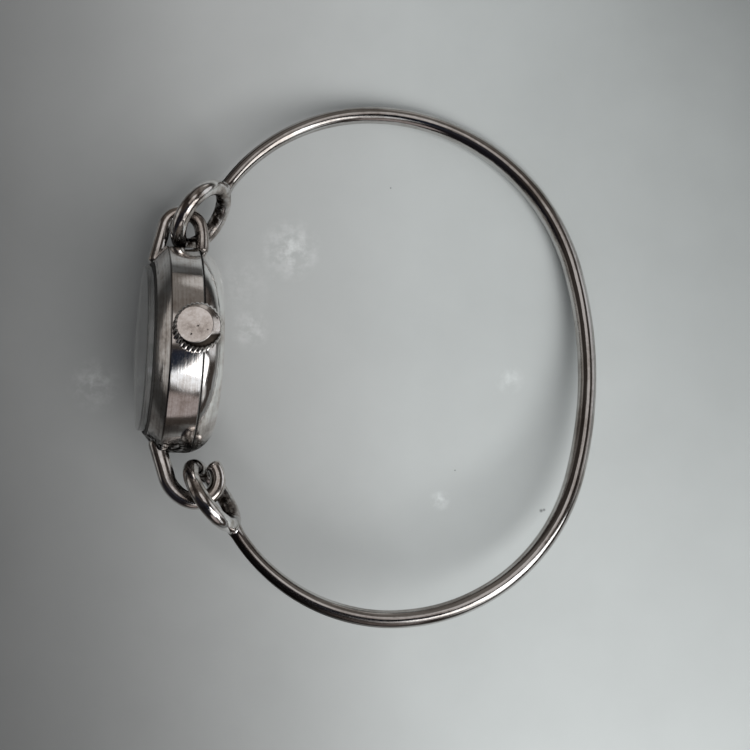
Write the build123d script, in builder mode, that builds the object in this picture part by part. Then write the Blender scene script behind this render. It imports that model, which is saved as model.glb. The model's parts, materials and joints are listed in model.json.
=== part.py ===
# Bangle watch lying on its side: a round hand-wound watch hung between the ends of a springy wire bangle.
# The origin is on the table under the middle of the bangle. X runs from the watch to the far side, Z is up.
# In the watch's own frame x points to 3 o'clock, y to 12 o'clock and z out of the dial.
import os
from math import asin, atan2, cos, degrees, hypot, radians, sin, sqrt

from build123d import *

# How it lies on the table
roll_angle = 10.0
case_lean_angle = 15.0
bangle_lean_angle = 9.42
case_place_x = -19.17
case_place_y = 0.85

# Case
case_radius = 11.3
band_width = 3.3
bezel_inner_radius = 9.45
bezel_rise = 1.4
case_bore_radius = 9.1
back_bore_radius = 9.6
back_bore_depth = 0.45
flange_radius = 8.3
flange_height = 2.6
crystal_seat_height = 3.9
polish_round = 0.2

# Crystal
crystal_radius = 9.05
crystal_wall = 0.7
crystal_edge_height = 5.5
crystal_top_height = 6.0
crystal_groove_depth = 0.35

# Snap back
seam_gap = 0.15
back_depth = 3.15
back_rim_inset = 0.05
back_rim_radius = case_radius - back_rim_inset
back_bulge_inset = 0.4
back_bulge_depth = 1.1
back_shoulder_inset = 1.65
back_shoulder_depth = 2.35
back_wall = 0.6
back_round = 1.0
skirt_outer_radius = 9.55
skirt_inner_radius = 9.15
skirt_rise = 0.35
back_seal_inner = 9.75
back_seal_inset = 0.2

# Soldered wire lugs, their ends beyond the bezel's inner edge, the band or the snap back's rim
hook_wire_radius = 1.0
hook_root_height = 3.45
hook_root_margin = 0.85
hook_leg_height = 2.3
hook_leg_length = 2.7
hook_bottom_height = -0.2
hook_bottom_length = 5.2
hook_tip_height = -2.75
hook_tip_length = 1.4
loop_wire_radius = 0.8
loop_root_height = 4.25
loop_root_margin = 0.45
loop_front_height = 3.3
loop_rear_height = -0.75
loop_play = 0.8
loop_tail_height = -0.9
loop_tail_gap = 0.2

# Bangle
hinge_height = 0.5
bangle_half_width = 28.93
bangle_drop = 0.24
bangle_far_reach = 46.0
bangle_far_radius = 45.9
upper_side_radius = 23.35
lower_side_radius = 22.1
bangle_far_wire_radius = 1.08
bangle_side_wire_radius = 1.0
bangle_end_wire_radius = 0.75
solder_wire_radius = 0.95
solder_length = 1.3
eye_radius = 3.75
eye_wire_radius = 0.875
eye_twist_angle = 20.0
upper_eye_gap = 0.22
upper_eye_inner_offset = -1.05
upper_eye_bearing = 52.0
lower_eye_gap = 0.75
lower_eye_inner_offset = 1.0
lower_eye_bearing = -54.6

# Crown and stem
stem_height = 0.8
stem_radius = 0.35
stem_inner_reach = 3.8
stem_end_length = 0.2
stem_travel = 0.7
tube_radius = 0.55
tube_inset = 0.55
tube_in_crown_length = 0.8
crown_radius = 2.5
crown_lift = 0.3
crown_skirt_length = 1.35
crown_shoulder_length = 0.8
crown_face_radius = 1.9
crown_dome_rise = 0.45
crown_recess_radius = 1.15
crown_headroom = 0.7
knurl_count = 30
knurl_depth = 0.2
knurl_runout = 0.25
seal_thickness = 0.35

# Fits
running_gap = 0.05
turning_gap = 0.15
overrun = 1.0

# Movement levels, from the seam towards the dial
dial_radius = 9.0
dial_thickness = 0.3
plate_radius = 8.5
plate_low = 0.7
plate_high = 1.6
bridge_low = -1.1
pocket_low = -0.35
winding_floor = -0.6
ring_outer_radius = 9.05
ring_inner_radius = 8.55
winding_wheel_thickness = 0.25
pivot_radius = 0.12
arbor_radius = 0.22
jewel_radius = 0.45
jewel_thickness = 0.25
wheel_thickness = 0.14

# Gear train
train_module = 0.1
barrel_teeth = 72
centre_pinion_teeth = 9
centre_teeth = 64
third_pinion_teeth = 8
third_module = 0.09
third_teeth = 60
fourth_pinion_teeth = 8
fourth_module = 0.08
fourth_teeth = 60
escape_pinion_teeth = 6
escape_teeth = 15
escape_radius = 1.55
motion_distance = 1.8
cannon_teeth = 12
minute_teeth = 36
minute_pinion_teeth = 10
hour_teeth = 40
setting_teeth = 16
crown_wheel_teeth = 28
ratchet_teeth = 56
winding_pinion_teeth = 18

# Bearings on the plate of one arbor seen from the one before it
barrel_bearing = 75.0
third_bearing = 200.0
fourth_bearing = -60.0
escape_bearing = -20.0
lever_bearing = 12.0

# Clutch, yoke and winding pinion on the stem
stem_square = 0.5
stem_square_reach = 5.65
stem_groove_width = 0.3
stem_groove_radius = 0.2
lever_pin_reach = 7.0
lever_pin_radius = 0.12
lever_pin_offset = 0.05
clutch_reach = 4.3
clutch_length = 1.1
clutch_radius = 0.8
clutch_groove_width = 0.3
clutch_groove_radius = 0.5
clutch_notch_depth = 0.15
clutch_notch_width = 0.2
clutch_notch_count = 10
yoke_pin_reach = 4.95
yoke_pin_radius = 0.1
winding_pinion_reach = 5.75
winding_pinion_length = 0.75
winding_pinion_module = 0.14
clutch_slot_reach = 3.95
clutch_floor = -0.05
pin_slot_half_width = 0.3

# Keyless work on the dial side
keyless_low = 1.65
keyless_thickness = 0.2
setting_lever_place = (7.3, 3.0)
yoke_place = (4.8, -3.0)
lever_boss_radius = 0.4
lever_tip_radius = 0.22
yoke_tip_radius = 0.18
yoke_spring_foot_x = 3.0
yoke_spring_foot_y = -4.6
yoke_spring_foot_radius = 0.3
yoke_spring_tip_x = 4.25
yoke_spring_tip_y = -1.7
yoke_spring_tip_radius = 0.1
post_radius = 0.18
post_height = 0.35

# Bridges and their screws
bridge_split = -1.5
train_bridge_edge = 1.75
bridge_screw_reach = 7.6
barrel_screw_bearings = (25, 108, 172)
train_screw_bearings = (205, 250, 275)
screw_radius = 0.28
screw_depth = 0.5
screw_head_radius = 0.5
screw_head_height = 0.22
screw_slot = 0.14
case_screw_reach = 8.0
case_screw_bearings = (50, 225)
case_screw_depth = -0.3
case_screw_head_radius = 0.8
cock_foot_reach = 7.66
cock_foot_bearing = -69.0
cock_foot_radius = 0.75
cock_head_radius = 0.8
pallet_foot_reach = 1.63
pallet_foot_turn = 75.0
pallet_foot_radius = 0.35
pallet_head_radius = 0.3
pallet_bridge_low = 0.0
pallet_bridge_thickness = 0.15

# Barrel and winding wheels
barrel_low = -0.12
barrel_high = 0.64
barrel_drum_radius = 3.4
barrel_wall = 0.2
barrel_arbor_radius = 0.6
barrel_core_radius = 0.95
crown_wheel_reach = 4.35
winding_screw_radius = 0.3
winding_screw_head_radius = 0.85
winding_screw_head = 0.2
winding_screw_length = 0.5
click_reach = 4.75
click_bearing = 165.0
click_beak_bearing = 158.0
click_radius = 0.45
click_beak_radius = 0.12
click_thickness = 0.25
click_recess_radius = 1.45
spring_blade = 0.12

# Wheels, escapement and balance
centre_wheel_low = -0.31
centre_arbor_high = 3.25
upper_wheel_low = 0.3
fourth_wheel_low = 0.0
wheel_rim = 0.45
wheel_hub_radius = 0.6
wheel_arm = 0.3
escape_heel_share = 0.97
escape_root_share = 0.74
escape_heel_turn = 4.0
lever_reach = 0.31
balance_reach = 1.9
pallet_span = 35.0
pallet_gap = 0.12
pallet_arm = 0.13
balance_low = -0.25
balance_thickness = 0.15
balance_radius = 2.4
balance_rim = 0.35
balance_arm = 0.3
balance_hub_radius = 0.3
roller_radius = 0.35
roller_low = 0.3
hairspring_inner_radius = 0.5
hairspring_step = 0.2
hairspring_half_turns = 6
hairspring_width = 0.05
hairspring_height = 0.1

# Motion work, dial and hands
motion_low = 1.68
hour_wheel_low = 1.95
cannon_radius = 0.35
cannon_high = 3.4
hour_tube_radius = 0.52
hour_tube_high = 3.12
dial_hole_radius = 0.65
dial_foot_reach = 7.0
dial_foot_bearings = (100, 250)
dial_foot_radius = 0.3
marker_reach = 7.2
marker_count = 12
marker_length = 1.3
marker_width = 0.3
marker_height = 0.12
hand_thickness = 0.12
hand_boss_radius = 0.75
hand_tip = 0.1
hour_hand_length = 4.4
hour_hand_bearing = 145.0
minute_hand_length = 6.4
minute_hand_bearing = 30.0

os.makedirs("parts", exist_ok=True)

# Planes of the lying watch
upright = Vector(0, sin(radians(roll_angle)), cos(radians(roll_angle)))
twelve = Vector(0, cos(radians(roll_angle)), -sin(radians(roll_angle)))
rearward = Vector(1, 0, 0)


def leaning_axis(lean):
    """The direction of 3 o'clock when the 12 to 6 line stays where it is and the watch leans back."""
    return upright * cos(radians(lean)) + rearward * sin(radians(lean))


case_three = leaning_axis(case_lean_angle)
case_front = case_three.cross(twelve)
rest_share = hypot(case_three.Z, twelve.Z)
face = Plane(
    origin=(case_place_x, case_place_y, case_radius * rest_share),
    x_dir=case_three,
    z_dir=case_front,
)


def spot(x, y, height):
    """A point given in the watch's own frame."""
    return face.from_local_coords(Vector(x, y, height))


def level(height, place=(0, 0), turn=0):
    """A plane parallel to the dial at a height above the seam, centred on a place and turned."""
    across = face.x_dir * cos(radians(turn)) + face.y_dir * sin(radians(turn))
    return Plane(origin=spot(*place, height), x_dir=across, z_dir=face.z_dir)


def section(place=(0, 0)):
    """A plane through an arbor, with x as the radius and y as the height above the seam."""
    return Plane(origin=spot(*place, 0), x_dir=face.x_dir, z_dir=face.y_dir * -1)


def arbor_axis(place=(0, 0)):
    return Axis(spot(*place, 0), face.z_dir)


# Across the dial from 3 o'clock, for what turns on the stem
stem_section = Plane(origin=spot(0, 0, stem_height), x_dir=face.x_dir, z_dir=face.y_dir * -1)
stem_axis = Axis(spot(0, 0, stem_height), face.x_dir)


def stem_plane(reach):
    """A plane square to the stem at a distance from the middle of the dial."""
    return Plane(origin=spot(reach, 0, stem_height), x_dir=face.y_dir, z_dir=face.x_dir)


# The plane of both lugs, with x as the height above the seam and y along the 12 to 6 line
lug_plane = Plane(origin=spot(0, 0, 0), x_dir=face.z_dir, z_dir=face.x_dir * -1)

# The plane of the bangle, with x from the hinge line to the far side and y to 12 o'clock
bangle_three = leaning_axis(bangle_lean_angle)
hoop = Plane(
    origin=spot(0, 0, hinge_height),
    x_dir=bangle_three.cross(twelve) * -1,
    z_dir=bangle_three,
)


def save(built, name):
    built.part.label = name
    export_step(built.part, f"parts/{name}.step")


def revolved(outline, plane, axis):
    """A turned piece from the points of its half section."""
    with BuildPart() as piece:
        with BuildSketch(plane):
            with BuildLine():
                Polyline(*outline, close=True)
            make_face()
        revolve(axis=axis)
    return piece


def disc(low, high, radius, place=(0, 0), bore=0):
    """A plain disc or ring between two heights."""
    with BuildPart() as piece:
        with BuildSketch(level(low, place)):
            Circle(radius)
            if bore:
                Circle(bore, mode=Mode.SUBTRACT)
        extrude(amount=high - low)
    return piece


def polar(distance, bearing, start=(0, 0)):
    """A place at a distance and bearing from another one."""
    return (
        start[0] + distance * cos(radians(bearing)),
        start[1] + distance * sin(radians(bearing)),
    )


def tooth_points(teeth, module):
    """The outline of a toothed wheel, its first tooth on the x axis."""
    pitch_radius = teeth * module / 2
    tip = pitch_radius + module
    root = pitch_radius - 1.2 * module
    points = []
    for tooth in range(teeth):
        points.append(polar(tip, 360 * tooth / teeth))
        points.append(polar(root, 360 * (tooth + 0.5) / teeth))
    return points


def meshed(first_turn, first_teeth, bearing, second_teeth):
    """The turn of a wheel whose teeth fall between those of its neighbour."""
    late = (bearing - first_turn) % (360 / first_teeth)
    return bearing + 180 + (late * first_teeth - 180) / second_teeth


# Case body: one turned piece, open at the seam, with the crystal's seat inside the sloped bezel
bezel_height = band_width + bezel_rise
with BuildPart() as case_body:
    with BuildSketch(section()) as case_section:
        with BuildLine():
            Polyline(
                (back_bore_radius, 0),
                (case_radius, 0),
                (case_radius, band_width),
                (bezel_inner_radius, bezel_height),
                (bezel_inner_radius, crystal_seat_height),
                (flange_radius, crystal_seat_height),
                (flange_radius, flange_height),
                (case_bore_radius, flange_height),
                (case_bore_radius, back_bore_depth),
                (back_bore_radius, back_bore_depth),
                close=True,
            )
        make_face()
        fillet(case_section.vertices().group_by(Axis.X)[-1], radius=polish_round)
    revolve(axis=arbor_axis())
    with BuildSketch(stem_plane(case_bore_radius - overrun)):
        Circle(tube_radius)
    extrude(amount=case_radius - case_bore_radius + 2 * overrun, mode=Mode.SUBTRACT)

# Crystal: a hollow disc with an upright polished edge, a low dome and a flat underside
crystal_under_height = crystal_edge_height - crystal_wall
with BuildPart() as crystal:
    with BuildSketch(section()) as crystal_section:
        with BuildLine():
            outside = Polyline(
                (crystal_radius - crystal_wall, crystal_seat_height),
                (crystal_radius, crystal_seat_height),
                (crystal_radius, crystal_edge_height),
            )
            top = TangentArc(
                (0, crystal_top_height),
                outside @ 1,
                tangent=(1, 0),
                tangent_from_first=True,
            )
            Polyline(
                top @ 0,
                (0, crystal_under_height),
                (crystal_radius - crystal_wall, crystal_under_height),
                outside @ 0,
            )
        make_face()
        rim_corners = crystal_section.vertices().group_by(Axis.X)[-1]
        fillet(rim_corners.sort_by(Axis.Y)[-1], radius=polish_round)
    revolve(axis=arbor_axis())
save(crystal, "crystal")

groove_high = crystal_seat_height + crystal_groove_depth
save(disc(crystal_seat_height, groove_high, bezel_inner_radius, bore=crystal_radius), "crystal_gasket")

# Snap back: a drawn bowl whose skirt presses into the case behind the seam
back_bulge_radius = back_rim_radius - back_bulge_inset
back_shoulder_radius = back_rim_radius - back_shoulder_inset
with BuildPart() as case_back:
    with BuildSketch(section()) as back_section:
        with BuildLine():
            rim = Line((skirt_outer_radius, -seam_gap), (back_rim_radius, -seam_gap))
            bulge = ThreePointArc(
                rim @ 1,
                (back_bulge_radius, -back_bulge_depth),
                (back_shoulder_radius, -back_shoulder_depth),
            )
            dome = TangentArc(
                (0, -back_depth),
                bulge @ 1,
                tangent=(1, 0),
                tangent_from_first=True,
            )
            Polyline(
                (0, -back_depth),
                (0, back_wall - back_depth),
                (back_shoulder_radius - back_wall, back_wall - back_shoulder_depth),
                (skirt_inner_radius, -back_bulge_depth),
                (skirt_inner_radius, skirt_rise),
                (skirt_outer_radius, skirt_rise),
                (skirt_outer_radius, -seam_gap),
            )
        make_face()
        shoulder = back_section.vertices().sort_by_distance((back_shoulder_radius, -back_shoulder_depth))[0]
        fillet(shoulder, radius=back_round)
    revolve(axis=arbor_axis())
save(case_back, "case_back")

save(disc(-seam_gap, 0, back_rim_radius - back_seal_inset, bore=back_seal_inner), "back_gasket")


# Hook: a thick wire soldered under the bezel at 6 o'clock, curled back short of the case
hook_tip_reach = case_radius + hook_tip_length
with BuildLine() as hook_line:
    hook_leg = Line(
        (hook_root_height, -bezel_inner_radius - hook_root_margin),
        (hook_leg_height, -case_radius - hook_leg_length),
    )
    hook_curl = TangentArc(
        hook_leg @ 1,
        (hook_bottom_height, -case_radius - hook_bottom_length),
        tangent=hook_leg % 1,
    )
    TangentArc(
        hook_curl @ 1,
        (hook_tip_height, -hook_tip_reach),
        tangent=hook_curl % 1,
    )
hook_path = lug_plane * hook_line.wire()
with BuildPart() as hook_lug:
    with BuildSketch(Plane(origin=hook_path @ 0, z_dir=hook_path % 0)):
        Circle(hook_wire_radius)
    sweep(path=hook_path)
    hook_end = hook_lug.faces().sort_by_distance(spot(0, -hook_tip_reach, hook_tip_height))[0]
    fillet(hook_end.edges(), radius=hook_wire_radius / 2)
    add(case_body.part, mode=Mode.SUBTRACT)
save(hook_lug, "hook_lug")

# Loop: a wire staple soldered on the bezel at 12 o'clock, its tail closed down beside the snap back's rim
upper_eye_inner_reach = case_radius + upper_eye_gap + eye_wire_radius
lower_eye_inner_reach = case_radius + lower_eye_gap + eye_wire_radius
loop_leg_reach = upper_eye_inner_reach + eye_wire_radius + loop_play
loop_tail_reach = back_rim_radius + loop_tail_gap
with BuildLine() as loop_line:
    front_leg = Line(
        (loop_root_height, bezel_inner_radius + loop_root_margin),
        (loop_front_height, loop_leg_reach),
    )
    loop_top = TangentArc(
        front_leg @ 1,
        (loop_rear_height, loop_leg_reach),
        tangent=front_leg % 1,
    )
    TangentArc(
        loop_top @ 1,
        (loop_tail_height, loop_tail_reach),
        tangent=loop_top % 1,
    )
loop_path = lug_plane * loop_line.wire()
with BuildPart() as loop_lug:
    with BuildSketch(Plane(origin=loop_path @ 0, z_dir=loop_path % 0)):
        Circle(loop_wire_radius)
    sweep(path=loop_path)
    loop_tail = loop_lug.faces().sort_by_distance(spot(0, loop_tail_reach, loop_tail_height))[0]
    fillet(loop_tail.edges(), radius=loop_wire_radius / 4)
    add(case_body.part, mode=Mode.SUBTRACT)
save(loop_lug, "loop_lug")
save(case_body, "case_body")

# Bangle: one tapered wire, its far arc flatter than its sides, each end arc running into its eye
far_centre = (bangle_far_reach - bangle_far_radius, -bangle_drop)


def side_place(side_radius, side):
    """The middle of a side arc that runs tangent into the far arc."""
    aside = bangle_half_width - side_radius
    along = sqrt((bangle_far_radius - side_radius) ** 2 - aside**2)
    return (far_centre[0] + along, far_centre[1] + side * aside)


def far_turn(place):
    """The turn along the far arc from its middle to a side arc round a place."""
    return degrees(atan2(abs(place[1] - far_centre[1]), place[0] - far_centre[0]))


def eye_plane(inner_offset, inner_reach, bearing, side):
    """The plane of an eye ring, with x from the watch along the ring's long way."""
    along = hoop.x_dir * cos(radians(bearing)) + hoop.y_dir * sin(radians(bearing))
    outward = (hoop.y_dir * cos(radians(bearing)) - hoop.x_dir * sin(radians(bearing))) * side
    across = hoop.z_dir * cos(radians(eye_twist_angle)) + outward * sin(radians(eye_twist_angle))
    middle = polar(eye_radius, bearing, (inner_offset, inner_reach))
    return Plane(
        origin=hoop.from_local_coords(Vector(*middle, 0)),
        x_dir=along,
        z_dir=along.cross(across),
    )


def eye_ring(plane):
    with BuildPart() as ring:
        with BuildSketch(Plane(origin=plane.origin, x_dir=plane.x_dir, z_dir=plane.y_dir)):
            with Locations((eye_radius, 0)):
                Circle(eye_wire_radius)
        revolve(axis=Axis(plane.origin, plane.z_dir))
    return ring


upper_eye = eye_ring(eye_plane(upper_eye_inner_offset, upper_eye_inner_reach, upper_eye_bearing, 1))
lower_eye = eye_ring(eye_plane(lower_eye_inner_offset, -lower_eye_inner_reach, lower_eye_bearing, -1))
upper_root = polar(2 * eye_radius, upper_eye_bearing, (upper_eye_inner_offset, upper_eye_inner_reach))
lower_root = polar(2 * eye_radius, lower_eye_bearing, (lower_eye_inner_offset, -lower_eye_inner_reach))

upper_place = side_place(upper_side_radius, 1)
lower_place = side_place(lower_side_radius, -1)
upper_turn = far_turn(upper_place)
lower_turn = far_turn(lower_place)
upper_top = (upper_place[0], upper_place[1] + upper_side_radius)
lower_top = (lower_place[0], lower_place[1] - lower_side_radius)
with BuildLine():
    upper_end = TangentArc(upper_top, upper_root, tangent=(-1, 0))
    upper_side = CenterArc(upper_place, upper_side_radius, 90, upper_turn - 90)
    far_arc = CenterArc(far_centre, bangle_far_radius, upper_turn, -upper_turn - lower_turn)
    lower_side = CenterArc(lower_place, lower_side_radius, -90, 90 - lower_turn)
    lower_end = TangentArc(lower_top, lower_root, tangent=(-1, 0))
tapered_spans = []
for side_arc, end_arc in ((upper_side, upper_end), (lower_side, lower_end)):
    solder_start = 1 - solder_length / end_arc.length
    tapered_spans += [
        (side_arc, bangle_side_wire_radius, bangle_far_wire_radius),
        (end_arc.trim(0, solder_start), bangle_side_wire_radius, bangle_end_wire_radius),
        (end_arc.trim(solder_start, 1), bangle_end_wire_radius, solder_wire_radius),
    ]
with BuildPart() as bangle_wire:
    far_path = hoop * far_arc
    with BuildSketch(Plane(origin=far_path @ 0, z_dir=far_path % 0)) as far_round:
        Circle(bangle_far_wire_radius)
    sweep(sections=far_round.sketch, path=far_path)
    for span, first_radius, last_radius in tapered_spans:
        path = hoop * span
        with BuildSketch(Plane(origin=path @ 0, z_dir=path % 0)) as first_round:
            Circle(first_radius)
        with BuildSketch(Plane(origin=path @ 1, z_dir=path % 1)) as last_round:
            Circle(last_radius)
        sweep(sections=[first_round.sketch, last_round.sketch], path=path, multisection=True)
    add(upper_eye.part, mode=Mode.SUBTRACT)
    add(lower_eye.part, mode=Mode.SUBTRACT)
save(bangle_wire, "bangle_wire")
save(upper_eye, "upper_eye")
save(lower_eye, "lower_eye")

# Crown: a deep knurled skirt, a rounded shoulder and a smaller low-domed face, hollow round the tube
crown_inner_reach = case_radius + crown_lift
crown_face_reach = crown_inner_reach + crown_skirt_length + crown_shoulder_length
crown_dome_reach = crown_face_reach + crown_dome_rise
tube_outer_reach = crown_inner_reach + tube_in_crown_length
recess_reach = tube_outer_reach + crown_headroom
stem_outer_reach = recess_reach + stem_end_length
with BuildPart() as crown:
    with BuildSketch(stem_section):
        with BuildLine():
            skirt = Polyline(
                (crown_inner_reach, crown_recess_radius),
                (crown_inner_reach, crown_radius),
                (crown_inner_reach + crown_skirt_length, crown_radius),
            )
            crown_shoulder = TangentArc(
                skirt @ 1,
                (crown_face_reach, crown_face_radius),
                tangent=(1, 0),
            )
            TangentArc((crown_dome_reach, 0), crown_shoulder @ 1, tangent=(0, 1))
            Polyline(
                (crown_dome_reach, 0),
                (stem_outer_reach, 0),
                (stem_outer_reach, stem_radius),
                (recess_reach, stem_radius),
                (recess_reach, crown_recess_radius),
                (crown_inner_reach, crown_recess_radius),
            )
        make_face()
    revolve(axis=stem_axis)
    with BuildSketch(stem_plane(crown_inner_reach - overrun)):
        with PolarLocations(crown_radius, knurl_count, start_angle=180 / knurl_count):
            RegularPolygon(knurl_depth, side_count=4)
    extrude(amount=crown_skirt_length + knurl_runout + overrun, mode=Mode.SUBTRACT)
save(crown, "crown")

tube_inner_reach = case_bore_radius + tube_inset
crown_tube = revolved(
    [
        (tube_inner_reach, stem_radius + running_gap),
        (tube_outer_reach, stem_radius + running_gap),
        (tube_outer_reach, tube_radius),
        (tube_inner_reach, tube_radius),
    ],
    stem_section,
    stem_axis,
)
save(crown_tube, "crown_tube")

seal_reach = crown_inner_reach + running_gap
crown_gasket = revolved(
    [
        (seal_reach, tube_radius + running_gap),
        (seal_reach + seal_thickness, tube_radius + running_gap),
        (seal_reach + seal_thickness, crown_recess_radius - running_gap),
        (seal_reach, crown_recess_radius - running_gap),
    ],
    stem_section,
    stem_axis,
)
save(crown_gasket, "crown_gasket")

# Winding stem: a square for the clutch, a round shaft and a groove for the setting lever's pin
with BuildPart() as winding_stem:
    with BuildSketch(stem_plane(stem_inner_reach)):
        Rectangle(stem_square, stem_square)
    extrude(amount=stem_square_reach - stem_inner_reach)
    with BuildSketch(stem_section):
        with BuildLine():
            Polyline(
                (stem_square_reach, 0),
                (stem_square_reach, stem_radius),
                (lever_pin_reach - stem_groove_width / 2, stem_radius),
                (lever_pin_reach - stem_groove_width / 2, stem_groove_radius),
                (lever_pin_reach + stem_groove_width / 2, stem_groove_radius),
                (lever_pin_reach + stem_groove_width / 2, stem_radius),
                (stem_outer_reach, stem_radius),
                (stem_outer_reach, 0),
                close=True,
            )
        make_face()
    revolve(axis=stem_axis)
save(winding_stem, "winding_stem")

# Clutch wheel: slides on the stem's square, with a groove for the yoke and notched ends
with BuildPart() as clutch_wheel:
    with BuildSketch(stem_plane(clutch_reach)):
        Circle(clutch_radius)
        Rectangle(stem_square + running_gap, stem_square + running_gap, mode=Mode.SUBTRACT)
    extrude(amount=clutch_length)
    with BuildSketch(stem_plane(yoke_pin_reach - clutch_groove_width / 2)):
        Circle(clutch_radius + overrun)
        Circle(clutch_groove_radius, mode=Mode.SUBTRACT)
    extrude(amount=clutch_groove_width, mode=Mode.SUBTRACT)
    for notch_reach in (clutch_reach, clutch_reach + clutch_length - clutch_notch_depth):
        with BuildSketch(stem_plane(notch_reach)):
            with PolarLocations(clutch_radius, clutch_notch_count):
                Rectangle(clutch_radius, clutch_notch_width)
        extrude(amount=clutch_notch_depth, mode=Mode.SUBTRACT)
save(clutch_wheel, "clutch_wheel")

# Winding pinion: turns on the stem under the crown wheel
with BuildPart() as winding_pinion:
    with BuildSketch(stem_plane(winding_pinion_reach)):
        with BuildLine():
            Polyline(*tooth_points(winding_pinion_teeth, winding_pinion_module), close=True)
        make_face()
        Circle(stem_radius + running_gap, mode=Mode.SUBTRACT)
    extrude(amount=winding_pinion_length)
save(winding_pinion, "winding_pinion")

# Places of the arbors on the plate
centre_place = (0, 0)
barrel_place = polar(train_module * (barrel_teeth + centre_pinion_teeth) / 2, barrel_bearing)
third_place = polar(train_module * (centre_teeth + third_pinion_teeth) / 2, third_bearing)
fourth_place = polar(third_module * (third_teeth + fourth_pinion_teeth) / 2, fourth_bearing, third_place)
escape_place = polar(fourth_module * (fourth_teeth + escape_pinion_teeth) / 2, escape_bearing, fourth_place)
lever_place = polar(escape_radius + lever_reach, lever_bearing, escape_place)
balance_place = polar(balance_reach, lever_bearing, lever_place)
minute_place = (motion_distance, 0)
cannon_module = 2 * motion_distance / (cannon_teeth + minute_teeth)
hour_module = 2 * motion_distance / (minute_pinion_teeth + hour_teeth)
setting_place = (motion_distance + cannon_module * (minute_teeth + setting_teeth) / 2, 0)
crown_wheel_place = (crown_wheel_reach, 0)
ratchet_run = (barrel_place[0] - crown_wheel_reach, barrel_place[1])
ratchet_bearing = degrees(atan2(ratchet_run[1], ratchet_run[0]))
winding_module = 2 * hypot(*ratchet_run) / (crown_wheel_teeth + ratchet_teeth)

# Turns that put each pair of toothed wheels in mesh
barrel_turn = meshed(0, centre_pinion_teeth, barrel_bearing, barrel_teeth)
third_pinion_turn = meshed(0, centre_teeth, third_bearing, third_pinion_teeth)
fourth_pinion_turn = meshed(0, third_teeth, fourth_bearing, fourth_pinion_teeth)
escape_pinion_turn = meshed(0, fourth_teeth, escape_bearing, escape_pinion_teeth)
minute_turn = meshed(0, cannon_teeth, 0, minute_teeth)
setting_turn = meshed(minute_turn, minute_teeth, 0, setting_teeth)
hour_turn = meshed(0, minute_pinion_teeth, 180, hour_teeth)
ratchet_turn = meshed(0, crown_wheel_teeth, ratchet_bearing, ratchet_teeth)


def tip_radius(teeth, module):
    return (teeth / 2 + 1) * module


barrel_tip = tip_radius(barrel_teeth, train_module)
centre_tip = tip_radius(centre_teeth, train_module)
third_tip = tip_radius(third_teeth, third_module)
fourth_tip = tip_radius(fourth_teeth, fourth_module)
crown_wheel_tip = tip_radius(crown_wheel_teeth, winding_module)
ratchet_tip = tip_radius(ratchet_teeth, winding_module)

train_places = [third_place, fourth_place, escape_place]
barrel_screws = [polar(bridge_screw_reach, bearing) for bearing in barrel_screw_bearings]
train_screws = [polar(bridge_screw_reach, bearing) for bearing in train_screw_bearings]
cock_foot = polar(cock_foot_reach, cock_foot_bearing)
pallet_feet = [
    polar(pallet_foot_reach, lever_bearing + side * pallet_foot_turn, lever_place) for side in (1, -1)
]
case_screw_places = [polar(case_screw_reach, bearing) for bearing in case_screw_bearings]
click_place = polar(click_reach, click_bearing, barrel_place)


def cut_discs(low, high, radius, places):
    """Round pockets or holes between two heights, cut from the part being built."""
    with BuildSketch(level(low)) as cut:
        with Locations(*places):
            Circle(radius)
    extrude(cut.sketch, amount=high - low, mode=Mode.SUBTRACT)


def cut_slot(low, high, from_reach, to_reach, half_width):
    """A rectangular slot along the stem, cut from the part being built."""
    with BuildSketch(level(low, ((from_reach + to_reach) / 2, 0))) as cut:
        Rectangle(to_reach - from_reach, 2 * half_width)
    extrude(cut.sketch, amount=high - low, mode=Mode.SUBTRACT)


def cut_stem_channel():
    with BuildSketch(stem_plane(stem_inner_reach - turning_gap)) as cut:
        Circle(stem_radius + running_gap)
    extrude(cut.sketch, amount=case_bore_radius - stem_inner_reach, mode=Mode.SUBTRACT)


# Main plate, with the posts that the motion work and keyless work turn on
post_places = [minute_place, setting_place, setting_lever_place, yoke_place]
with BuildPart() as main_plate:
    with BuildSketch(level(plate_low)):
        Circle(plate_radius)
    extrude(amount=plate_high - plate_low)
    with BuildSketch(level(plate_high)):
        with Locations(*post_places):
            Circle(post_radius)
    extrude(amount=post_height)
    cut_discs(plate_low, plate_high, arbor_radius + turning_gap, [centre_place])
    cut_discs(plate_low, plate_high, barrel_arbor_radius, [barrel_place])
    cut_discs(plate_low, plate_high, pivot_radius, [lever_place])
    jewelled = train_places + [balance_place]
    cut_discs(plate_low, plate_high, arbor_radius + turning_gap, jewelled)
    cut_discs(plate_high - jewel_thickness, plate_high, jewel_radius, jewelled)
    screwed = barrel_screws + train_screws + [cock_foot]
    cut_discs(plate_low, plate_low + screw_depth, screw_radius, screwed)
    cut_slot(plate_low, plate_high, clutch_slot_reach, winding_pinion_reach, clutch_radius + turning_gap)
    pinion_end = winding_pinion_reach + winding_pinion_length
    pinion_slot = winding_pinion_reach - running_gap, pinion_end + turning_gap
    pinion_half_slot = tip_radius(winding_pinion_teeth, winding_pinion_module) + turning_gap
    cut_slot(plate_low, plate_high, *pinion_slot, pinion_half_slot)
    pin_slot = lever_pin_reach - lever_pin_radius - turning_gap
    cut_slot(plate_low, plate_high, pin_slot, pin_slot + stem_travel + 3 * turning_gap, pin_slot_half_width)
    cut_stem_channel()
save(main_plate, "main_plate")


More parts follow.
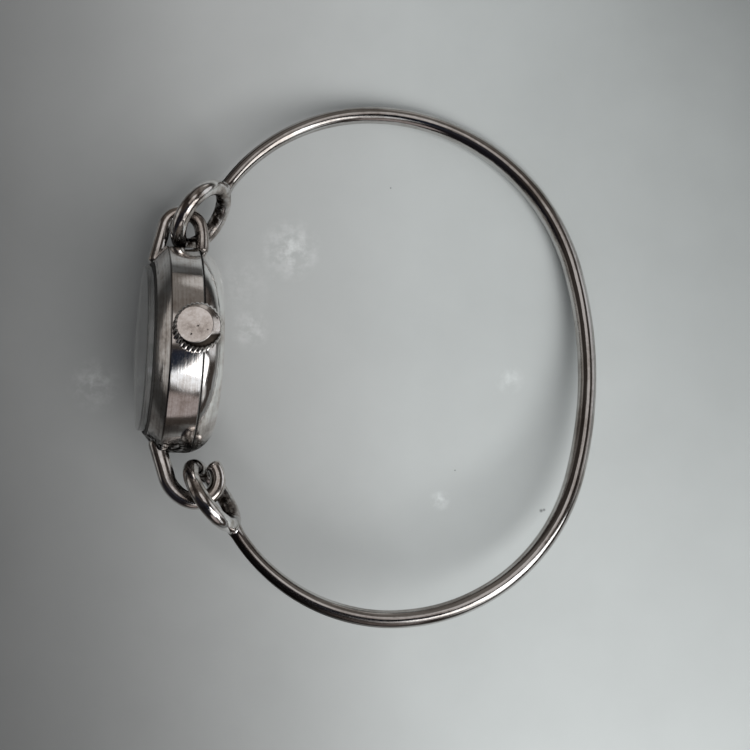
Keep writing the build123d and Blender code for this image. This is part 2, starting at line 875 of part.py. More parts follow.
def bridge_outline(far_x, low_y, high_y):
    """The part of the movement's disc between two lines across it, left of a third."""
    Circle(plate_radius)
    with Locations(((far_x - plate_radius) / 2, (low_y + high_y) / 2)):
        Rectangle(far_x + plate_radius, high_y - low_y, mode=Mode.INTERSECT)


def cut_train_pockets():
    """Room for the wheels between the plate and a bridge."""
    cut_discs(pocket_low, plate_low, barrel_tip + turning_gap, [barrel_place])
    cut_discs(pocket_low, plate_low, centre_tip + turning_gap, [centre_place])
    cut_discs(pocket_low, plate_low, third_tip + turning_gap, [third_place])
    cut_discs(pocket_low, plate_low, fourth_tip + turning_gap, [fourth_place])
    cut_discs(pocket_low, plate_low, escape_radius + turning_gap, [escape_place])


def cut_jewel_seats():
    cut_discs(bridge_low, plate_low, arbor_radius + turning_gap, train_places)
    cut_discs(bridge_low, bridge_low + jewel_thickness, jewel_radius, train_places)


# Barrel bridge: covers the barrel and centre wheel and carries the winding wheels in its recess
with BuildPart() as barrel_bridge:
    with BuildSketch(level(bridge_low)):
        bridge_outline(plate_radius, bridge_split + running_gap, plate_radius)
    extrude(amount=plate_low - bridge_low)
    cut_train_pockets()
    cut_jewel_seats()
    cut_discs(bridge_low, plate_low, arbor_radius + turning_gap, [centre_place])
    cut_discs(bridge_low, winding_floor, ratchet_tip + turning_gap, [barrel_place])
    cut_discs(bridge_low, winding_floor, crown_wheel_tip + turning_gap, [crown_wheel_place])
    cut_discs(bridge_low, winding_floor, click_recess_radius, [click_place])
    cut_discs(winding_floor, plate_low, barrel_arbor_radius, [barrel_place])
    cut_discs(winding_floor, clutch_floor, winding_screw_radius, [crown_wheel_place])
    cut_discs(bridge_low, plate_low, screw_radius, barrel_screws)
    cut_discs(bridge_low, case_screw_depth, screw_radius, case_screw_places[:1])
    cut_slot(clutch_floor, plate_low, clutch_slot_reach, winding_pinion_reach, clutch_radius + turning_gap)
    cut_slot(winding_floor, plate_low, *pinion_slot, pinion_half_slot)
    cut_stem_channel()
    with BuildSketch(level(winding_floor - click_thickness, click_place)):
        Circle(post_radius)
    extrude(amount=click_thickness)
save(barrel_bridge, "barrel_bridge")

# Train bridge
with BuildPart() as train_bridge:
    with BuildSketch(level(bridge_low)):
        bridge_outline(train_bridge_edge, -plate_radius, bridge_split - running_gap)
    extrude(amount=plate_low - bridge_low)
    cut_train_pockets()
    cut_jewel_seats()
    cut_discs(bridge_low, plate_low, screw_radius, train_screws)
    cut_discs(bridge_low, case_screw_depth, screw_radius, case_screw_places[1:])
save(train_bridge, "train_bridge")


def link_outline(first_place, first_radius, second_place, second_radius):
    """Two rounds and the straight web that joins them, as one flat outline."""
    run = (second_place[0] - first_place[0], second_place[1] - first_place[1])
    length = hypot(*run)
    bearing = degrees(atan2(run[1], run[0]))
    spread = degrees(asin((first_radius - second_radius) / length))
    with Locations(first_place):
        Circle(first_radius)
    with Locations(second_place):
        Circle(second_radius)
    corners = []
    for place, radius in ((first_place, first_radius), (second_place, second_radius)):
        corners.append([polar(radius, bearing + side * (90 - spread), place) for side in (1, -1)])
    with BuildLine() as web:
        Polyline(corners[0][0], corners[1][0], corners[1][1], corners[0][1], close=True)
    make_face(web.edges())


# Balance cock
with BuildPart() as balance_cock:
    with BuildSketch(level(bridge_low)):
        link_outline(balance_place, cock_head_radius, cock_foot, cock_foot_radius)
    extrude(amount=winding_floor - bridge_low)
    with BuildSketch(level(winding_floor, cock_foot)):
        Circle(cock_foot_radius)
    extrude(amount=plate_low - winding_floor)
    cut_discs(bridge_low, plate_low, screw_radius, [cock_foot])
    cut_discs(bridge_low, winding_floor, arbor_radius + turning_gap, [balance_place])
    cut_discs(bridge_low, bridge_low + jewel_thickness, jewel_radius, [balance_place])
save(balance_cock, "balance_cock")

# Pallet bridge: a bar on two feet
with BuildPart() as pallet_bridge:
    with BuildSketch(level(pallet_bridge_low)):
        link_outline(pallet_feet[0], pallet_foot_radius, lever_place, pallet_head_radius)
        link_outline(pallet_feet[1], pallet_foot_radius, lever_place, pallet_head_radius)
    extrude(amount=pallet_bridge_thickness)
    with BuildSketch(level(pallet_bridge_low)):
        with Locations(*pallet_feet):
            Circle(pallet_foot_radius)
    extrude(amount=plate_low - pallet_bridge_low)
    cut_discs(pallet_bridge_low, plate_low, pivot_radius, [lever_place])
save(pallet_bridge, "pallet_bridge")


def screws(places, head_low, head_radius, head_height, shank_radius, shank_length, slot_width):
    """A group of slotted screws, heads down, shanks towards the dial."""
    with BuildPart() as group:
        with BuildSketch(level(head_low)):
            with Locations(*places):
                Circle(head_radius)
        extrude(amount=head_height)
        with BuildSketch(level(head_low + head_height)):
            with Locations(*places):
                Circle(shank_radius)
        extrude(amount=shank_length)
        with BuildSketch(level(head_low)):
            with Locations(*places):
                Rectangle(2 * head_radius + overrun, slot_width)
        extrude(amount=head_height / 2, mode=Mode.SUBTRACT)
    return group


bridge_screw_length = plate_low + screw_depth - bridge_low
save(
    screws(
        barrel_screws + train_screws + [cock_foot],
        bridge_low - screw_head_height,
        screw_head_radius,
        screw_head_height,
        screw_radius,
        bridge_screw_length,
        screw_slot,
    ),
    "bridge_screws",
)
save(
    screws(
        case_screw_places,
        bridge_low - screw_head_height,
        case_screw_head_radius,
        screw_head_height,
        screw_radius,
        case_screw_depth - bridge_low,
        screw_slot,
    ),
    "case_screws",
)

# Movement ring between the movement and the case, drilled for the stem
with BuildPart() as movement_ring:
    with BuildSketch(level(bridge_low)):
        Circle(ring_outer_radius)
        Circle(ring_inner_radius, mode=Mode.SUBTRACT)
    extrude(amount=flange_height - dial_thickness - bridge_low)
    with BuildSketch(stem_plane(plate_radius)):
        Circle(stem_radius + turning_gap)
    extrude(amount=overrun, mode=Mode.SUBTRACT)
save(movement_ring, "movement_ring")


def jewels(seats):
    """Ring jewels, each let into its plate or bridge."""
    with BuildPart() as group:
        for height, place in seats:
            with BuildSketch(level(height, place)):
                Circle(jewel_radius)
                Circle(pivot_radius + running_gap / 2, mode=Mode.SUBTRACT)
            extrude(amount=jewel_thickness)
    return group


jewel_heights = (bridge_low, plate_high - jewel_thickness)
save(jewels([(height, place) for height in jewel_heights for place in train_places]), "train_jewels")
save(jewels([(height, balance_place) for height in jewel_heights]), "balance_jewels")


def arbor_outline(low=bridge_low, high=plate_high):
    """Half section of an arbor between two jewels, with a pivot at each end."""
    shoulder_low = low + jewel_thickness + running_gap
    shoulder_high = high - jewel_thickness - running_gap
    return [
        (0, low + running_gap),
        (pivot_radius, low + running_gap),
        (pivot_radius, shoulder_low),
        (arbor_radius, shoulder_low),
        (arbor_radius, shoulder_high),
        (pivot_radius, shoulder_high),
        (pivot_radius, high - running_gap),
        (0, high - running_gap),
    ]


def add_arbor(place, outline):
    """Turn an arbor onto the wheel being built."""
    with BuildSketch(section(place)) as half:
        with BuildLine():
            Polyline(*outline, close=True)
        make_face()
    revolve(half.sketch, axis=arbor_axis(place))


def add_teeth(low, thickness, place, turn, teeth, module, bore=0):
    """A solid toothed disc on the wheel being built."""
    with BuildSketch(level(low, place, turn)) as toothed:
        with BuildLine():
            Polyline(*tooth_points(teeth, module), close=True)
        make_face()
        if bore:
            Circle(bore, mode=Mode.SUBTRACT)
    extrude(toothed.sketch, amount=thickness)


def add_crossed_wheel(low, place, turn, teeth, module):
    """A toothed rim with four arms and a hub, on the wheel being built."""
    rim_inner = teeth * module / 2 - wheel_rim
    with BuildSketch(level(low, place, turn)) as wheel:
        with BuildLine():
            Polyline(*tooth_points(teeth, module), close=True)
        make_face()
        Circle(rim_inner, mode=Mode.SUBTRACT)
        Circle(wheel_hub_radius)
        with PolarLocations(0, 2, angular_range=180):
            Rectangle(2 * rim_inner + wheel_rim, wheel_arm)
    extrude(wheel.sketch, amount=wheel_thickness)


# Barrel: toothed drum, cover, arbor and the wound mainspring
barrel_inner_radius = barrel_drum_radius - barrel_wall
with BuildPart() as barrel_drum:
    with BuildSketch(level(barrel_low, barrel_place)):
        Circle(barrel_drum_radius)
        Circle(barrel_inner_radius, mode=Mode.SUBTRACT)
    extrude(amount=barrel_high - barrel_low - wheel_thickness)
    barrel_teeth_low = barrel_high - wheel_thickness
    bore = barrel_arbor_radius + running_gap
    add_teeth(barrel_teeth_low, wheel_thickness, barrel_place, barrel_turn, barrel_teeth, train_module, bore)
save(barrel_drum, "barrel_drum")

cover_high = barrel_low + wheel_thickness
save(disc(barrel_low, cover_high, barrel_inner_radius, barrel_place, bore), "barrel_cover")
save(
    disc(
        cover_high + running_gap,
        barrel_teeth_low - running_gap,
        barrel_inner_radius - running_gap,
        barrel_place,
        barrel_core_radius + running_gap,
    ),
    "mainspring",
)

ratchet_high = winding_floor - running_gap
ratchet_low = ratchet_high - winding_wheel_thickness
barrel_arbor = revolved(
    [
        (0, plate_high),
        (barrel_arbor_radius - running_gap, plate_high),
        (barrel_arbor_radius - running_gap, barrel_teeth_low - running_gap),
        (barrel_core_radius, barrel_teeth_low - running_gap),
        (barrel_core_radius, cover_high + running_gap),
        (barrel_arbor_radius - running_gap, cover_high + running_gap),
        (barrel_arbor_radius - running_gap, ratchet_low),
        (winding_screw_radius, ratchet_low),
        (winding_screw_radius, ratchet_low + winding_screw_length),
        (0, ratchet_low + winding_screw_length),
    ],
    section(barrel_place),
    arbor_axis(barrel_place),
)
save(barrel_arbor, "barrel_arbor")

# Winding wheels under the barrel bridge
winding_screw = (winding_screw_head_radius, winding_screw_head, winding_screw_radius)
with BuildPart() as ratchet_wheel:
    hub_bore = barrel_arbor_radius - running_gap
    add_teeth(
        ratchet_low,
        winding_wheel_thickness,
        barrel_place,
        ratchet_turn,
        ratchet_teeth,
        winding_module,
        hub_bore,
    )
save(ratchet_wheel, "ratchet_wheel")
save(
    screws(
        [barrel_place],
        ratchet_low - winding_screw_head,
        *winding_screw,
        winding_screw_length,
        screw_slot,
    ),
    "ratchet_screw",
)
with BuildPart() as crown_wheel:
    add_teeth(
        ratchet_low,
        winding_wheel_thickness,
        crown_wheel_place,
        0,
        crown_wheel_teeth,
        winding_module,
        winding_screw_radius + running_gap,
    )
save(crown_wheel, "crown_wheel")
save(
    screws(
        [crown_wheel_place],
        ratchet_low - running_gap - winding_screw_head,
        *winding_screw,
        clutch_floor - turning_gap - ratchet_low,
        screw_slot,
    ),
    "crown_wheel_screw",
)

# Click and its spring
click_beak = polar(ratchet_tip + turning_gap, click_beak_bearing, barrel_place)
click_high = winding_floor - running_gap
with BuildPart() as click:
    with BuildSketch(level(click_high - click_thickness, (0, 0))):
        link_outline(click_place, click_radius, click_beak, click_beak_radius)
        with Locations(click_place):
            Circle(post_radius + running_gap, mode=Mode.SUBTRACT)
    extrude(amount=click_thickness)
save(click, "click")
click_spring_place = polar(click_radius + 2 * turning_gap, click_bearing, click_place)
with BuildPart() as click_spring:
    with BuildSketch(level(winding_floor - click_thickness, click_spring_place, click_bearing)):
        Rectangle(spring_blade, 2 * click_radius)
    extrude(amount=click_thickness)
save(click_spring, "click_spring")

# Going train
with BuildPart() as centre_wheel:
    add_crossed_wheel(centre_wheel_low, centre_place, 0, centre_teeth, train_module)
    add_teeth(barrel_teeth_low, wheel_thickness, centre_place, 0, centre_pinion_teeth, train_module)
    add_arbor(
        centre_place,
        [
            (0, bridge_low),
            (arbor_radius, bridge_low),
            (arbor_radius, centre_arbor_high),
            (0, centre_arbor_high),
        ],
    )
save(centre_wheel, "centre_wheel")

with BuildPart() as third_wheel:
    add_crossed_wheel(upper_wheel_low, third_place, 0, third_teeth, third_module)
    add_teeth(centre_wheel_low, wheel_thickness, third_place, third_pinion_turn, third_pinion_teeth, train_module)
    add_arbor(third_place, arbor_outline())
save(third_wheel, "third_wheel")

with BuildPart() as fourth_wheel:
    add_crossed_wheel(fourth_wheel_low, fourth_place, 0, fourth_teeth, fourth_module)
    add_teeth(upper_wheel_low, wheel_thickness, fourth_place, fourth_pinion_turn, fourth_pinion_teeth, third_module)
    add_arbor(fourth_place, arbor_outline())
save(fourth_wheel, "fourth_wheel")

with BuildPart() as escape_wheel:
    with BuildSketch(level(upper_wheel_low, escape_place)):
        with BuildLine():
            hooks = []
            for tooth in range(escape_teeth):
                start = 360 * tooth / escape_teeth
                hooks.append(polar(escape_radius, start))
                hooks.append(polar(escape_radius * escape_heel_share, start + escape_heel_turn))
                hooks.append(polar(escape_radius * escape_root_share, start + 2 * escape_heel_turn))
                hooks.append(polar(escape_radius * escape_root_share, start + 4 * escape_heel_turn))
            Polyline(*hooks, close=True)
        make_face()
    extrude(amount=wheel_thickness)
    add_teeth(
        fourth_wheel_low,
        wheel_thickness,
        escape_place,
        escape_pinion_turn,
        escape_pinion_teeth,
        fourth_module,
    )
    add_arbor(escape_place, arbor_outline())
save(escape_wheel, "escape_wheel")

# Pallet fork: arms to two stones beside the escape wheel and a fork towards the balance
with BuildPart() as pallet_fork:
    with BuildSketch(level(upper_wheel_low)):
        for side in (1, -1):
            stone_bearing = lever_bearing + side * pallet_span
            stone = polar(escape_radius + pallet_gap + pallet_arm, stone_bearing, escape_place)
            link_outline(lever_place, pallet_head_radius, stone, pallet_arm)
        fork_end = polar(balance_reach - roller_radius - pallet_gap - pallet_arm, lever_bearing, lever_place)
        link_outline(lever_place, pallet_head_radius, fork_end, pallet_arm)
    extrude(amount=wheel_thickness)
    add_arbor(
        lever_place,
        [
            (0, pallet_bridge_low),
            (pivot_radius - running_gap, pallet_bridge_low),
            (pivot_radius - running_gap, plate_high - jewel_thickness),
            (0, plate_high - jewel_thickness),
        ],
    )
save(pallet_fork, "pallet_fork")

# Balance: rim with two arms on its own staff, and the hairspring
balance_high = balance_low + balance_thickness
with BuildPart() as balance_wheel:
    with BuildSketch(level(balance_low, balance_place)):
        Circle(balance_radius)
        Circle(balance_radius - balance_rim, mode=Mode.SUBTRACT)
        Rectangle(2 * balance_radius - balance_rim, balance_arm)
        Circle(balance_hub_radius + balance_arm)
        Circle(balance_hub_radius, mode=Mode.SUBTRACT)
    extrude(amount=balance_thickness)
save(balance_wheel, "balance_wheel")
shoulder_low = bridge_low + jewel_thickness + running_gap
shoulder_high = plate_high - jewel_thickness - running_gap
balance_staff = revolved(
    [
        (0, bridge_low + running_gap),
        (pivot_radius, bridge_low + running_gap),
        (pivot_radius, shoulder_low),
        (arbor_radius, shoulder_low),
        (arbor_radius, balance_low),
        (balance_hub_radius, balance_low),
        (balance_hub_radius, balance_high),
        (arbor_radius, balance_high),
        (arbor_radius, roller_low),
        (roller_radius, roller_low),
        (roller_radius, roller_low + balance_thickness),
        (arbor_radius, roller_low + balance_thickness),
        (arbor_radius, shoulder_high),
        (pivot_radius, shoulder_high),
        (pivot_radius, plate_high - running_gap),
        (0, plate_high - running_gap),
    ],
    section(balance_place),
    arbor_axis(balance_place),
)
save(balance_staff, "balance_staff")

# Hairspring: a flat spiral of half turns whose outer end is held by the cock's stud
with BuildPart() as hairspring:
    with BuildSketch(level(winding_floor, balance_place)):
        with BuildLine():
            for half_turn in range(hairspring_half_turns):
                odd = half_turn % 2
                radius = hairspring_inner_radius + half_turn * hairspring_step / 2
                CenterArc((odd * hairspring_step / 2, 0), radius, 180 * odd, 180)
        trace(line_width=hairspring_width)
    extrude(amount=hairspring_height)
save(hairspring, "hairspring")

# Motion work on the dial side: cannon pinion, minute wheel, hour wheel and setting wheel
cannon_pinion_bore = arbor_radius + running_gap
with BuildPart() as cannon_pinion:
    add_teeth(motion_low, wheel_thickness, centre_place, 0, cannon_teeth, cannon_module, cannon_pinion_bore)
    with BuildSketch(level(motion_low)):
        Circle(cannon_radius)
        Circle(cannon_pinion_bore, mode=Mode.SUBTRACT)
    extrude(amount=cannon_high - motion_low)
save(cannon_pinion, "cannon_pinion")

post_bore = post_radius + running_gap
minute_pinion_low = motion_low + wheel_thickness
minute_pinion_height = hour_wheel_low + wheel_thickness - minute_pinion_low
with BuildPart() as minute_wheel:
    add_teeth(motion_low, wheel_thickness, minute_place, minute_turn, minute_teeth, cannon_module, post_bore)
    add_teeth(minute_pinion_low, minute_pinion_height, minute_place, 0, minute_pinion_teeth, hour_module, post_bore)
save(minute_wheel, "minute_wheel")

hour_bore = cannon_radius + running_gap
with BuildPart() as hour_wheel:
    add_teeth(hour_wheel_low, wheel_thickness, centre_place, hour_turn, hour_teeth, hour_module, hour_bore)
    with BuildSketch(level(hour_wheel_low)):
        Circle(hour_tube_radius)
        Circle(hour_bore, mode=Mode.SUBTRACT)
    extrude(amount=hour_tube_high - hour_wheel_low)
save(hour_wheel, "hour_wheel")

with BuildPart() as setting_wheel:
    add_teeth(motion_low, wheel_thickness, setting_place, setting_turn, setting_teeth, cannon_module, post_bore)
save(setting_wheel, "setting_wheel")

# Keyless work: the lever that follows the stem and the yoke that slides the clutch
lever_pin_place = (lever_pin_reach, lever_pin_offset)
lever_pin_low = stem_height + stem_groove_radius + running_gap
with BuildPart() as setting_lever:
    with BuildSketch(level(keyless_low)):
        link_outline(setting_lever_place, lever_boss_radius, lever_pin_place, lever_tip_radius)
        with Locations(setting_lever_place):
            Circle(post_bore, mode=Mode.SUBTRACT)
    extrude(amount=keyless_thickness)
    with BuildSketch(level(lever_pin_low, lever_pin_place)):
        Circle(lever_pin_radius)
    extrude(amount=keyless_low - lever_pin_low)
save(setting_lever, "setting_lever")

yoke_pin_place = (yoke_pin_reach, 0)
yoke_pin_low = stem_height + clutch_groove_radius + running_gap
with BuildPart() as yoke:
    with BuildSketch(level(keyless_low)):
        link_outline(yoke_place, lever_boss_radius, yoke_pin_place, yoke_tip_radius)
        with Locations(yoke_place):
            Circle(post_bore, mode=Mode.SUBTRACT)
    extrude(amount=keyless_thickness)
    with BuildSketch(level(yoke_pin_low, yoke_pin_place)):
        Circle(yoke_pin_radius)
    extrude(amount=keyless_low - yoke_pin_low)
save(yoke, "yoke")

with BuildPart() as yoke_spring:
    with BuildSketch(level(plate_high)):
        link_outline(
            (yoke_spring_foot_x, yoke_spring_foot_y),
            yoke_spring_foot_radius,
            (yoke_spring_tip_x, yoke_spring_tip_y),
            yoke_spring_tip_radius,
        )
    extrude(amount=keyless_low + keyless_thickness / 2 - plate_high)
save(yoke_spring, "yoke_spring")

# Dial on two feet, twelve applied batons, and the hands
dial_low = flange_height - dial_thickness
dial_feet = [polar(dial_foot_reach, bearing) for bearing in dial_foot_bearings]
with BuildPart() as dial:
    with BuildSketch(level(dial_low)):
        Circle(dial_radius)
        Circle(dial_hole_radius, mode=Mode.SUBTRACT)
    extrude(amount=dial_thickness)
    with BuildSketch(level(plate_high)):
        with Locations(*dial_feet):
            Circle(dial_foot_radius)
    extrude(amount=dial_low - plate_high)
save(dial, "dial")

with BuildPart() as hour_markers:
    with BuildSketch(level(flange_height)):
        with PolarLocations(marker_reach, marker_count):
            Rectangle(marker_length, marker_width)
    extrude(amount=marker_height)
save(hour_markers, "hour_markers")


def hand(low, bearing, length, boss_radius, tip_half_width, bore):
    """A tapered hand on its tube."""
    with BuildPart() as piece:
        with BuildSketch(level(low)):
            link_outline(centre_place, boss_radius / 2, polar(length, bearing), tip_half_width)
            Circle(boss_radius)
            Circle(bore, mode=Mode.SUBTRACT)
        extrude(amount=hand_thickness)
    return piece


hour_hand_low = hour_tube_high - hand_thickness
minute_hand_low = cannon_high - hand_thickness
save(
    hand(hour_hand_low, hour_hand_bearing, hour_hand_length, hand_boss_radius, hand_tip, hour_tube_radius),
    "hour_hand",
)
save(
    hand(minute_hand_low, minute_hand_bearing, minute_hand_length, hand_boss_radius, hand_tip, cannon_radius),
    "minute_hand",
)
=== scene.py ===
import json
from functools import reduce
from math import atan2, ceil, cos, hypot, pi, radians, sin, sqrt, tan, tau

import bmesh
import bpy
from mathutils import Matrix, Vector, noise


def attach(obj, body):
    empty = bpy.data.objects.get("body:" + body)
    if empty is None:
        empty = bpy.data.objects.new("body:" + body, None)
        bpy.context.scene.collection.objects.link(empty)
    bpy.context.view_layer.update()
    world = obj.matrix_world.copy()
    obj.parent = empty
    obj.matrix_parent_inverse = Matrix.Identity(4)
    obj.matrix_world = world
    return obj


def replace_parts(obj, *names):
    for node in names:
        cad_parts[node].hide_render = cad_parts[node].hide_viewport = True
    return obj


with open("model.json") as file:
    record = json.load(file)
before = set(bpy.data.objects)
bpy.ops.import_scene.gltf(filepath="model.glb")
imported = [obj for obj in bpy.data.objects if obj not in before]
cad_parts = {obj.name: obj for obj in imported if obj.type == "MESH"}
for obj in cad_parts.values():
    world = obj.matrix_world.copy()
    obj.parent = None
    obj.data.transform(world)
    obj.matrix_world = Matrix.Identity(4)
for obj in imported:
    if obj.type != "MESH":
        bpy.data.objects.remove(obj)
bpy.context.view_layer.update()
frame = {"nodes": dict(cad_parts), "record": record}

# Lengths in metres, in the model's frame: origin on the table under the middle of the bangle, Z up
MM = 0.001

# How the watch lies on the table
roll_angle = radians(10.0)
case_lean_angle = radians(15.0)
bangle_lean_angle = radians(9.42)
case_place_x = -19.17 * MM
case_place_y = 0.85 * MM

# Case, crystal and back
case_radius = 11.3 * MM
band_width = 3.3 * MM
bezel_inner_radius = 9.45 * MM
bezel_rise = 1.4 * MM
case_bore_radius = 9.1 * MM
back_bore_radius = 9.6 * MM
back_bore_depth = 0.45 * MM
flange_radius = 8.3 * MM
flange_height = 2.6 * MM
crystal_seat_height = 3.9 * MM
crystal_radius = 9.05 * MM
crystal_wall = 0.7 * MM
crystal_edge_height = 5.5 * MM
crystal_top_height = 6.0 * MM
seam_gap = 0.15 * MM
back_depth = 3.15 * MM
back_rim_radius = 11.25 * MM
back_bulge_radius = 10.85 * MM
back_bulge_depth = 1.1 * MM
back_shoulder_radius = 9.6 * MM
back_shoulder_depth = 2.35 * MM
back_wall = 0.6 * MM
back_round = 1.0 * MM
skirt_outer_radius = 9.55 * MM
skirt_inner_radius = 9.15 * MM
skirt_rise = 0.35 * MM
polish_round = 0.2 * MM
small_round = 0.08 * MM

# Soldered wire lugs, in heights above the seam and reaches along the 12 to 6 line
hook_wire_radius = 1.0 * MM
hook_root = (3.45 * MM, -10.3 * MM)
hook_leg = (2.3 * MM, -14.0 * MM)
hook_bottom = (-0.2 * MM, -16.5 * MM)
hook_tip = (-2.75 * MM, -12.7 * MM)
loop_wire_radius = 0.8 * MM
loop_root = (4.25 * MM, 9.9 * MM)
loop_leg = (3.3 * MM, 14.07 * MM)
loop_rear = (-0.75 * MM, 14.07 * MM)
loop_tail = (-0.9 * MM, 11.45 * MM)

# Bangle, in its own plane: x from the hinge line to the far side, y to 12 o'clock
hinge_height = 0.5 * MM
bangle_half_width = 28.93 * MM
bangle_drop = 0.24 * MM
bangle_far_reach = 46.0 * MM
bangle_far_radius = 45.9 * MM
upper_side_radius = 23.35 * MM
lower_side_radius = 22.1 * MM
far_wire_radius = 1.08 * MM
side_wire_radius = 1.0 * MM
end_wire_radius = 0.75 * MM
solder_wire_radius = 0.95 * MM
solder_length = 1.3 * MM
eye_radius = 3.75 * MM
eye_wire_radius = 0.875 * MM
eye_twist_angle = radians(20.0)
upper_eye_inner = (-1.05 * MM, 12.395 * MM)
upper_eye_bearing = radians(52.0)
lower_eye_inner = (1.0 * MM, -12.925 * MM)
lower_eye_bearing = radians(-54.6)

# Crown
stem_height = 0.8 * MM
stem_radius = 0.35 * MM
crown_radius = 2.5 * MM
crown_inner_reach = 11.6 * MM
crown_skirt_length = 1.35 * MM
crown_face_radius = 1.95 * MM
crown_face_reach = 13.75 * MM
crown_dome_reach = 14.3 * MM
crown_flat_reach = 13.86 * MM
crown_flat_slope = 0.144
crown_recess_radius = 1.15 * MM
crown_recess_length = 1.5 * MM
knurl_count = 30
knurl_depth = 0.27 * MM
knurl_runout = 0.75 * MM

# Heights and reaches that follow from these
bezel_height = band_width + bezel_rise
skirt_end = crown_inner_reach + crown_skirt_length
recess_reach = crown_inner_reach + crown_recess_length

# Fineness of the meshes
turn_steps = 256
ring_steps = 160
wire_sides = 40
wire_step = 0.35 * MM
lug_step = 0.2 * MM
outline_step = 0.25 * MM
crown_arc_step = 0.06 * MM
skirt_steps = 6
steps_a_knurl = 16
weld_distance = 0.0005 * MM
sharp_angle = radians(40.0)

# Wear: rounded ends, hammered wire, and joints melted and smoothed
cap_flatness = 0.5
wear_depth = 0.012 * MM
wear_size = 3.0 * MM
wear_seed = 1
ridge_half_turn = 0.5
stub_count = 9
melt_size = 0.09 * MM
melt_reach = 2.0 * MM
joint_smoothings = 25
eye_smoothings = 4

# Silver's tarnish levels for its light, stained and dark tones, and the depth of its dents
tarnish_levels = (0.60, 0.73, 0.88)
silver_bump = 0.004 * MM
seam_soot_width = 0.22 * MM


# The frames of the leaning case and bangle
upright = Vector((0, sin(roll_angle), cos(roll_angle)))
twelve = Vector((0, cos(roll_angle), -sin(roll_angle)))
rearward = Vector((1, 0, 0))


def leaning_axis(lean):
    return upright * cos(lean) + rearward * sin(lean)


def basis(origin, x_axis, y_axis):
    """The matrix from local lengths to the model's frame."""
    z_axis = x_axis.cross(y_axis)
    matrix = Matrix((x_axis, y_axis, z_axis)).transposed().to_4x4()
    matrix.translation = origin
    return matrix


case_three = leaning_axis(case_lean_angle)
rest_share = hypot(case_three.z, twelve.z)
watch = basis(Vector((case_place_x, case_place_y, case_radius * rest_share)), case_three, twelve)
watch_front = (watch.to_3x3() @ Vector((0, 0, 1))).normalized()


def spot(x, y, height):
    """A point given in the watch's own frame, as a world point."""
    return watch @ Vector((x, y, height))


# Turned about the stem: local z runs out of the crown
stem_frame = basis(spot(0, 0, stem_height), twelve, watch_front)
bangle_three = leaning_axis(bangle_lean_angle)
hoop_across = twelve.cross(bangle_three)
hoop = basis(spot(0, 0, hinge_height), hoop_across, twelve)
lug_plane = basis(spot(0, 0, 0), watch_front, twelve)


# Flat curves
def tangent_arc(start, direction, end, step):
    """Points of the arc that leaves start along direction and reaches end, and its last direction."""
    start, end = Vector(start), Vector(end)
    along = Vector(direction).normalized()
    across = Vector((-along.y, along.x))
    run = end - start
    sweep = 2 * atan2(run.dot(across), run.dot(along))
    if abs(sweep) < radians(0.01):
        return [start, end], along
    radius = run.length / 2 / sin(sweep / 2)
    count = max(2, ceil(abs(radius * sweep) / step))
    points = []
    for index in range(count + 1):
        turn = sweep * index / count
        points.append(start + along * (radius * sin(turn)) + across * (radius * (1 - cos(turn))))
    last = along * cos(sweep) + across * sin(sweep)
    return points, last


def arc(centre, radius, from_turn, to_turn, step):
    """Points of an arc about a centre."""
    count = max(2, ceil(abs(radius * (to_turn - from_turn)) / step))
    turns = [from_turn + (to_turn - from_turn) * index / count for index in range(count + 1)]
    return [Vector((centre[0] + radius * cos(turn), centre[1] + radius * sin(turn))) for turn in turns]


def rounded(points, rounds, steps=6):
    """A closed or open outline with some of its corners rounded; rounds maps an index to a radius."""
    smooth = []
    last = len(points) - 1
    for index, point in enumerate(points):
        here = Vector(point)
        if index not in rounds:
            smooth.append(here)
            continue
        before = (Vector(points[index - 1]) - here).normalized()
        after = (Vector(points[0 if index == last else index + 1]) - here).normalized()
        half = before.angle(after) / 2
        radius = rounds[index]
        reach = radius / sin(half) * cos(half)
        centre = here + (before + after).normalized() * (radius / sin(half))
        first = here + before * reach - centre
        final = here + after * reach - centre
        swing = atan2(first.x * final.y - first.y * final.x, first.dot(final))
        for step in range(steps + 1):
            turn = swing * step / steps
            smooth.append(centre + Matrix.Rotation(turn, 2) @ first)
    return smooth


# Mesh makers
def piece(name, shape, body, material):
    """A mesh object from world points, smooth where its faces meet gently, riding on a body."""
    points, faces, runs = shape
    mesh = bpy.data.meshes.new(name)
    mesh.from_pydata([tuple(point) for point in points], [], faces)
    if runs:
        along = mesh.attributes.new("run", "FLOAT_VECTOR", "POINT")
        along.data.foreach_set("vector", [value for run in runs for value in run])
    mesh.validate()
    mesh.update()
    made = bpy.data.objects.new(name, mesh)
    bpy.context.scene.collection.objects.link(made)
    finish_mesh(made, sharp_angle)
    mesh.materials.append(material)
    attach(made, body)
    return made


def finish_mesh(made, sharp):
    """Faces outward and smooth shading with sharp edges kept."""
    shape = bmesh.new()
    shape.from_mesh(made.data)
    bmesh.ops.remove_doubles(shape, verts=shape.verts, dist=weld_distance)
    bmesh.ops.recalc_face_normals(shape, faces=shape.faces)
    shape.to_mesh(made.data)
    shape.free()
    made.data.polygons.foreach_set("use_smooth", [True] * len(made.data.polygons))
    made.data.set_sharp_from_angle(angle=sharp)


def turned(outline, matrix, wave=None, steps=turn_steps):
    """Points and faces of a closed half section (radius, height) turned about local z."""
    points, faces = [], []
    size = len(outline)
    for step in range(steps):
        turn = tau * step / steps
        for radius, height in outline:
            reach = radius if wave is None else wave(radius, height, turn)
            points.append(matrix @ Vector((reach * cos(turn), reach * sin(turn), height)))
    for step in range(steps):
        here, there = step * size, (step + 1) % steps * size
        for index in range(size):
            beside = (index + 1) % size
            faces.append((here + index, here + beside, there + beside, there + index))
    return points, faces, None


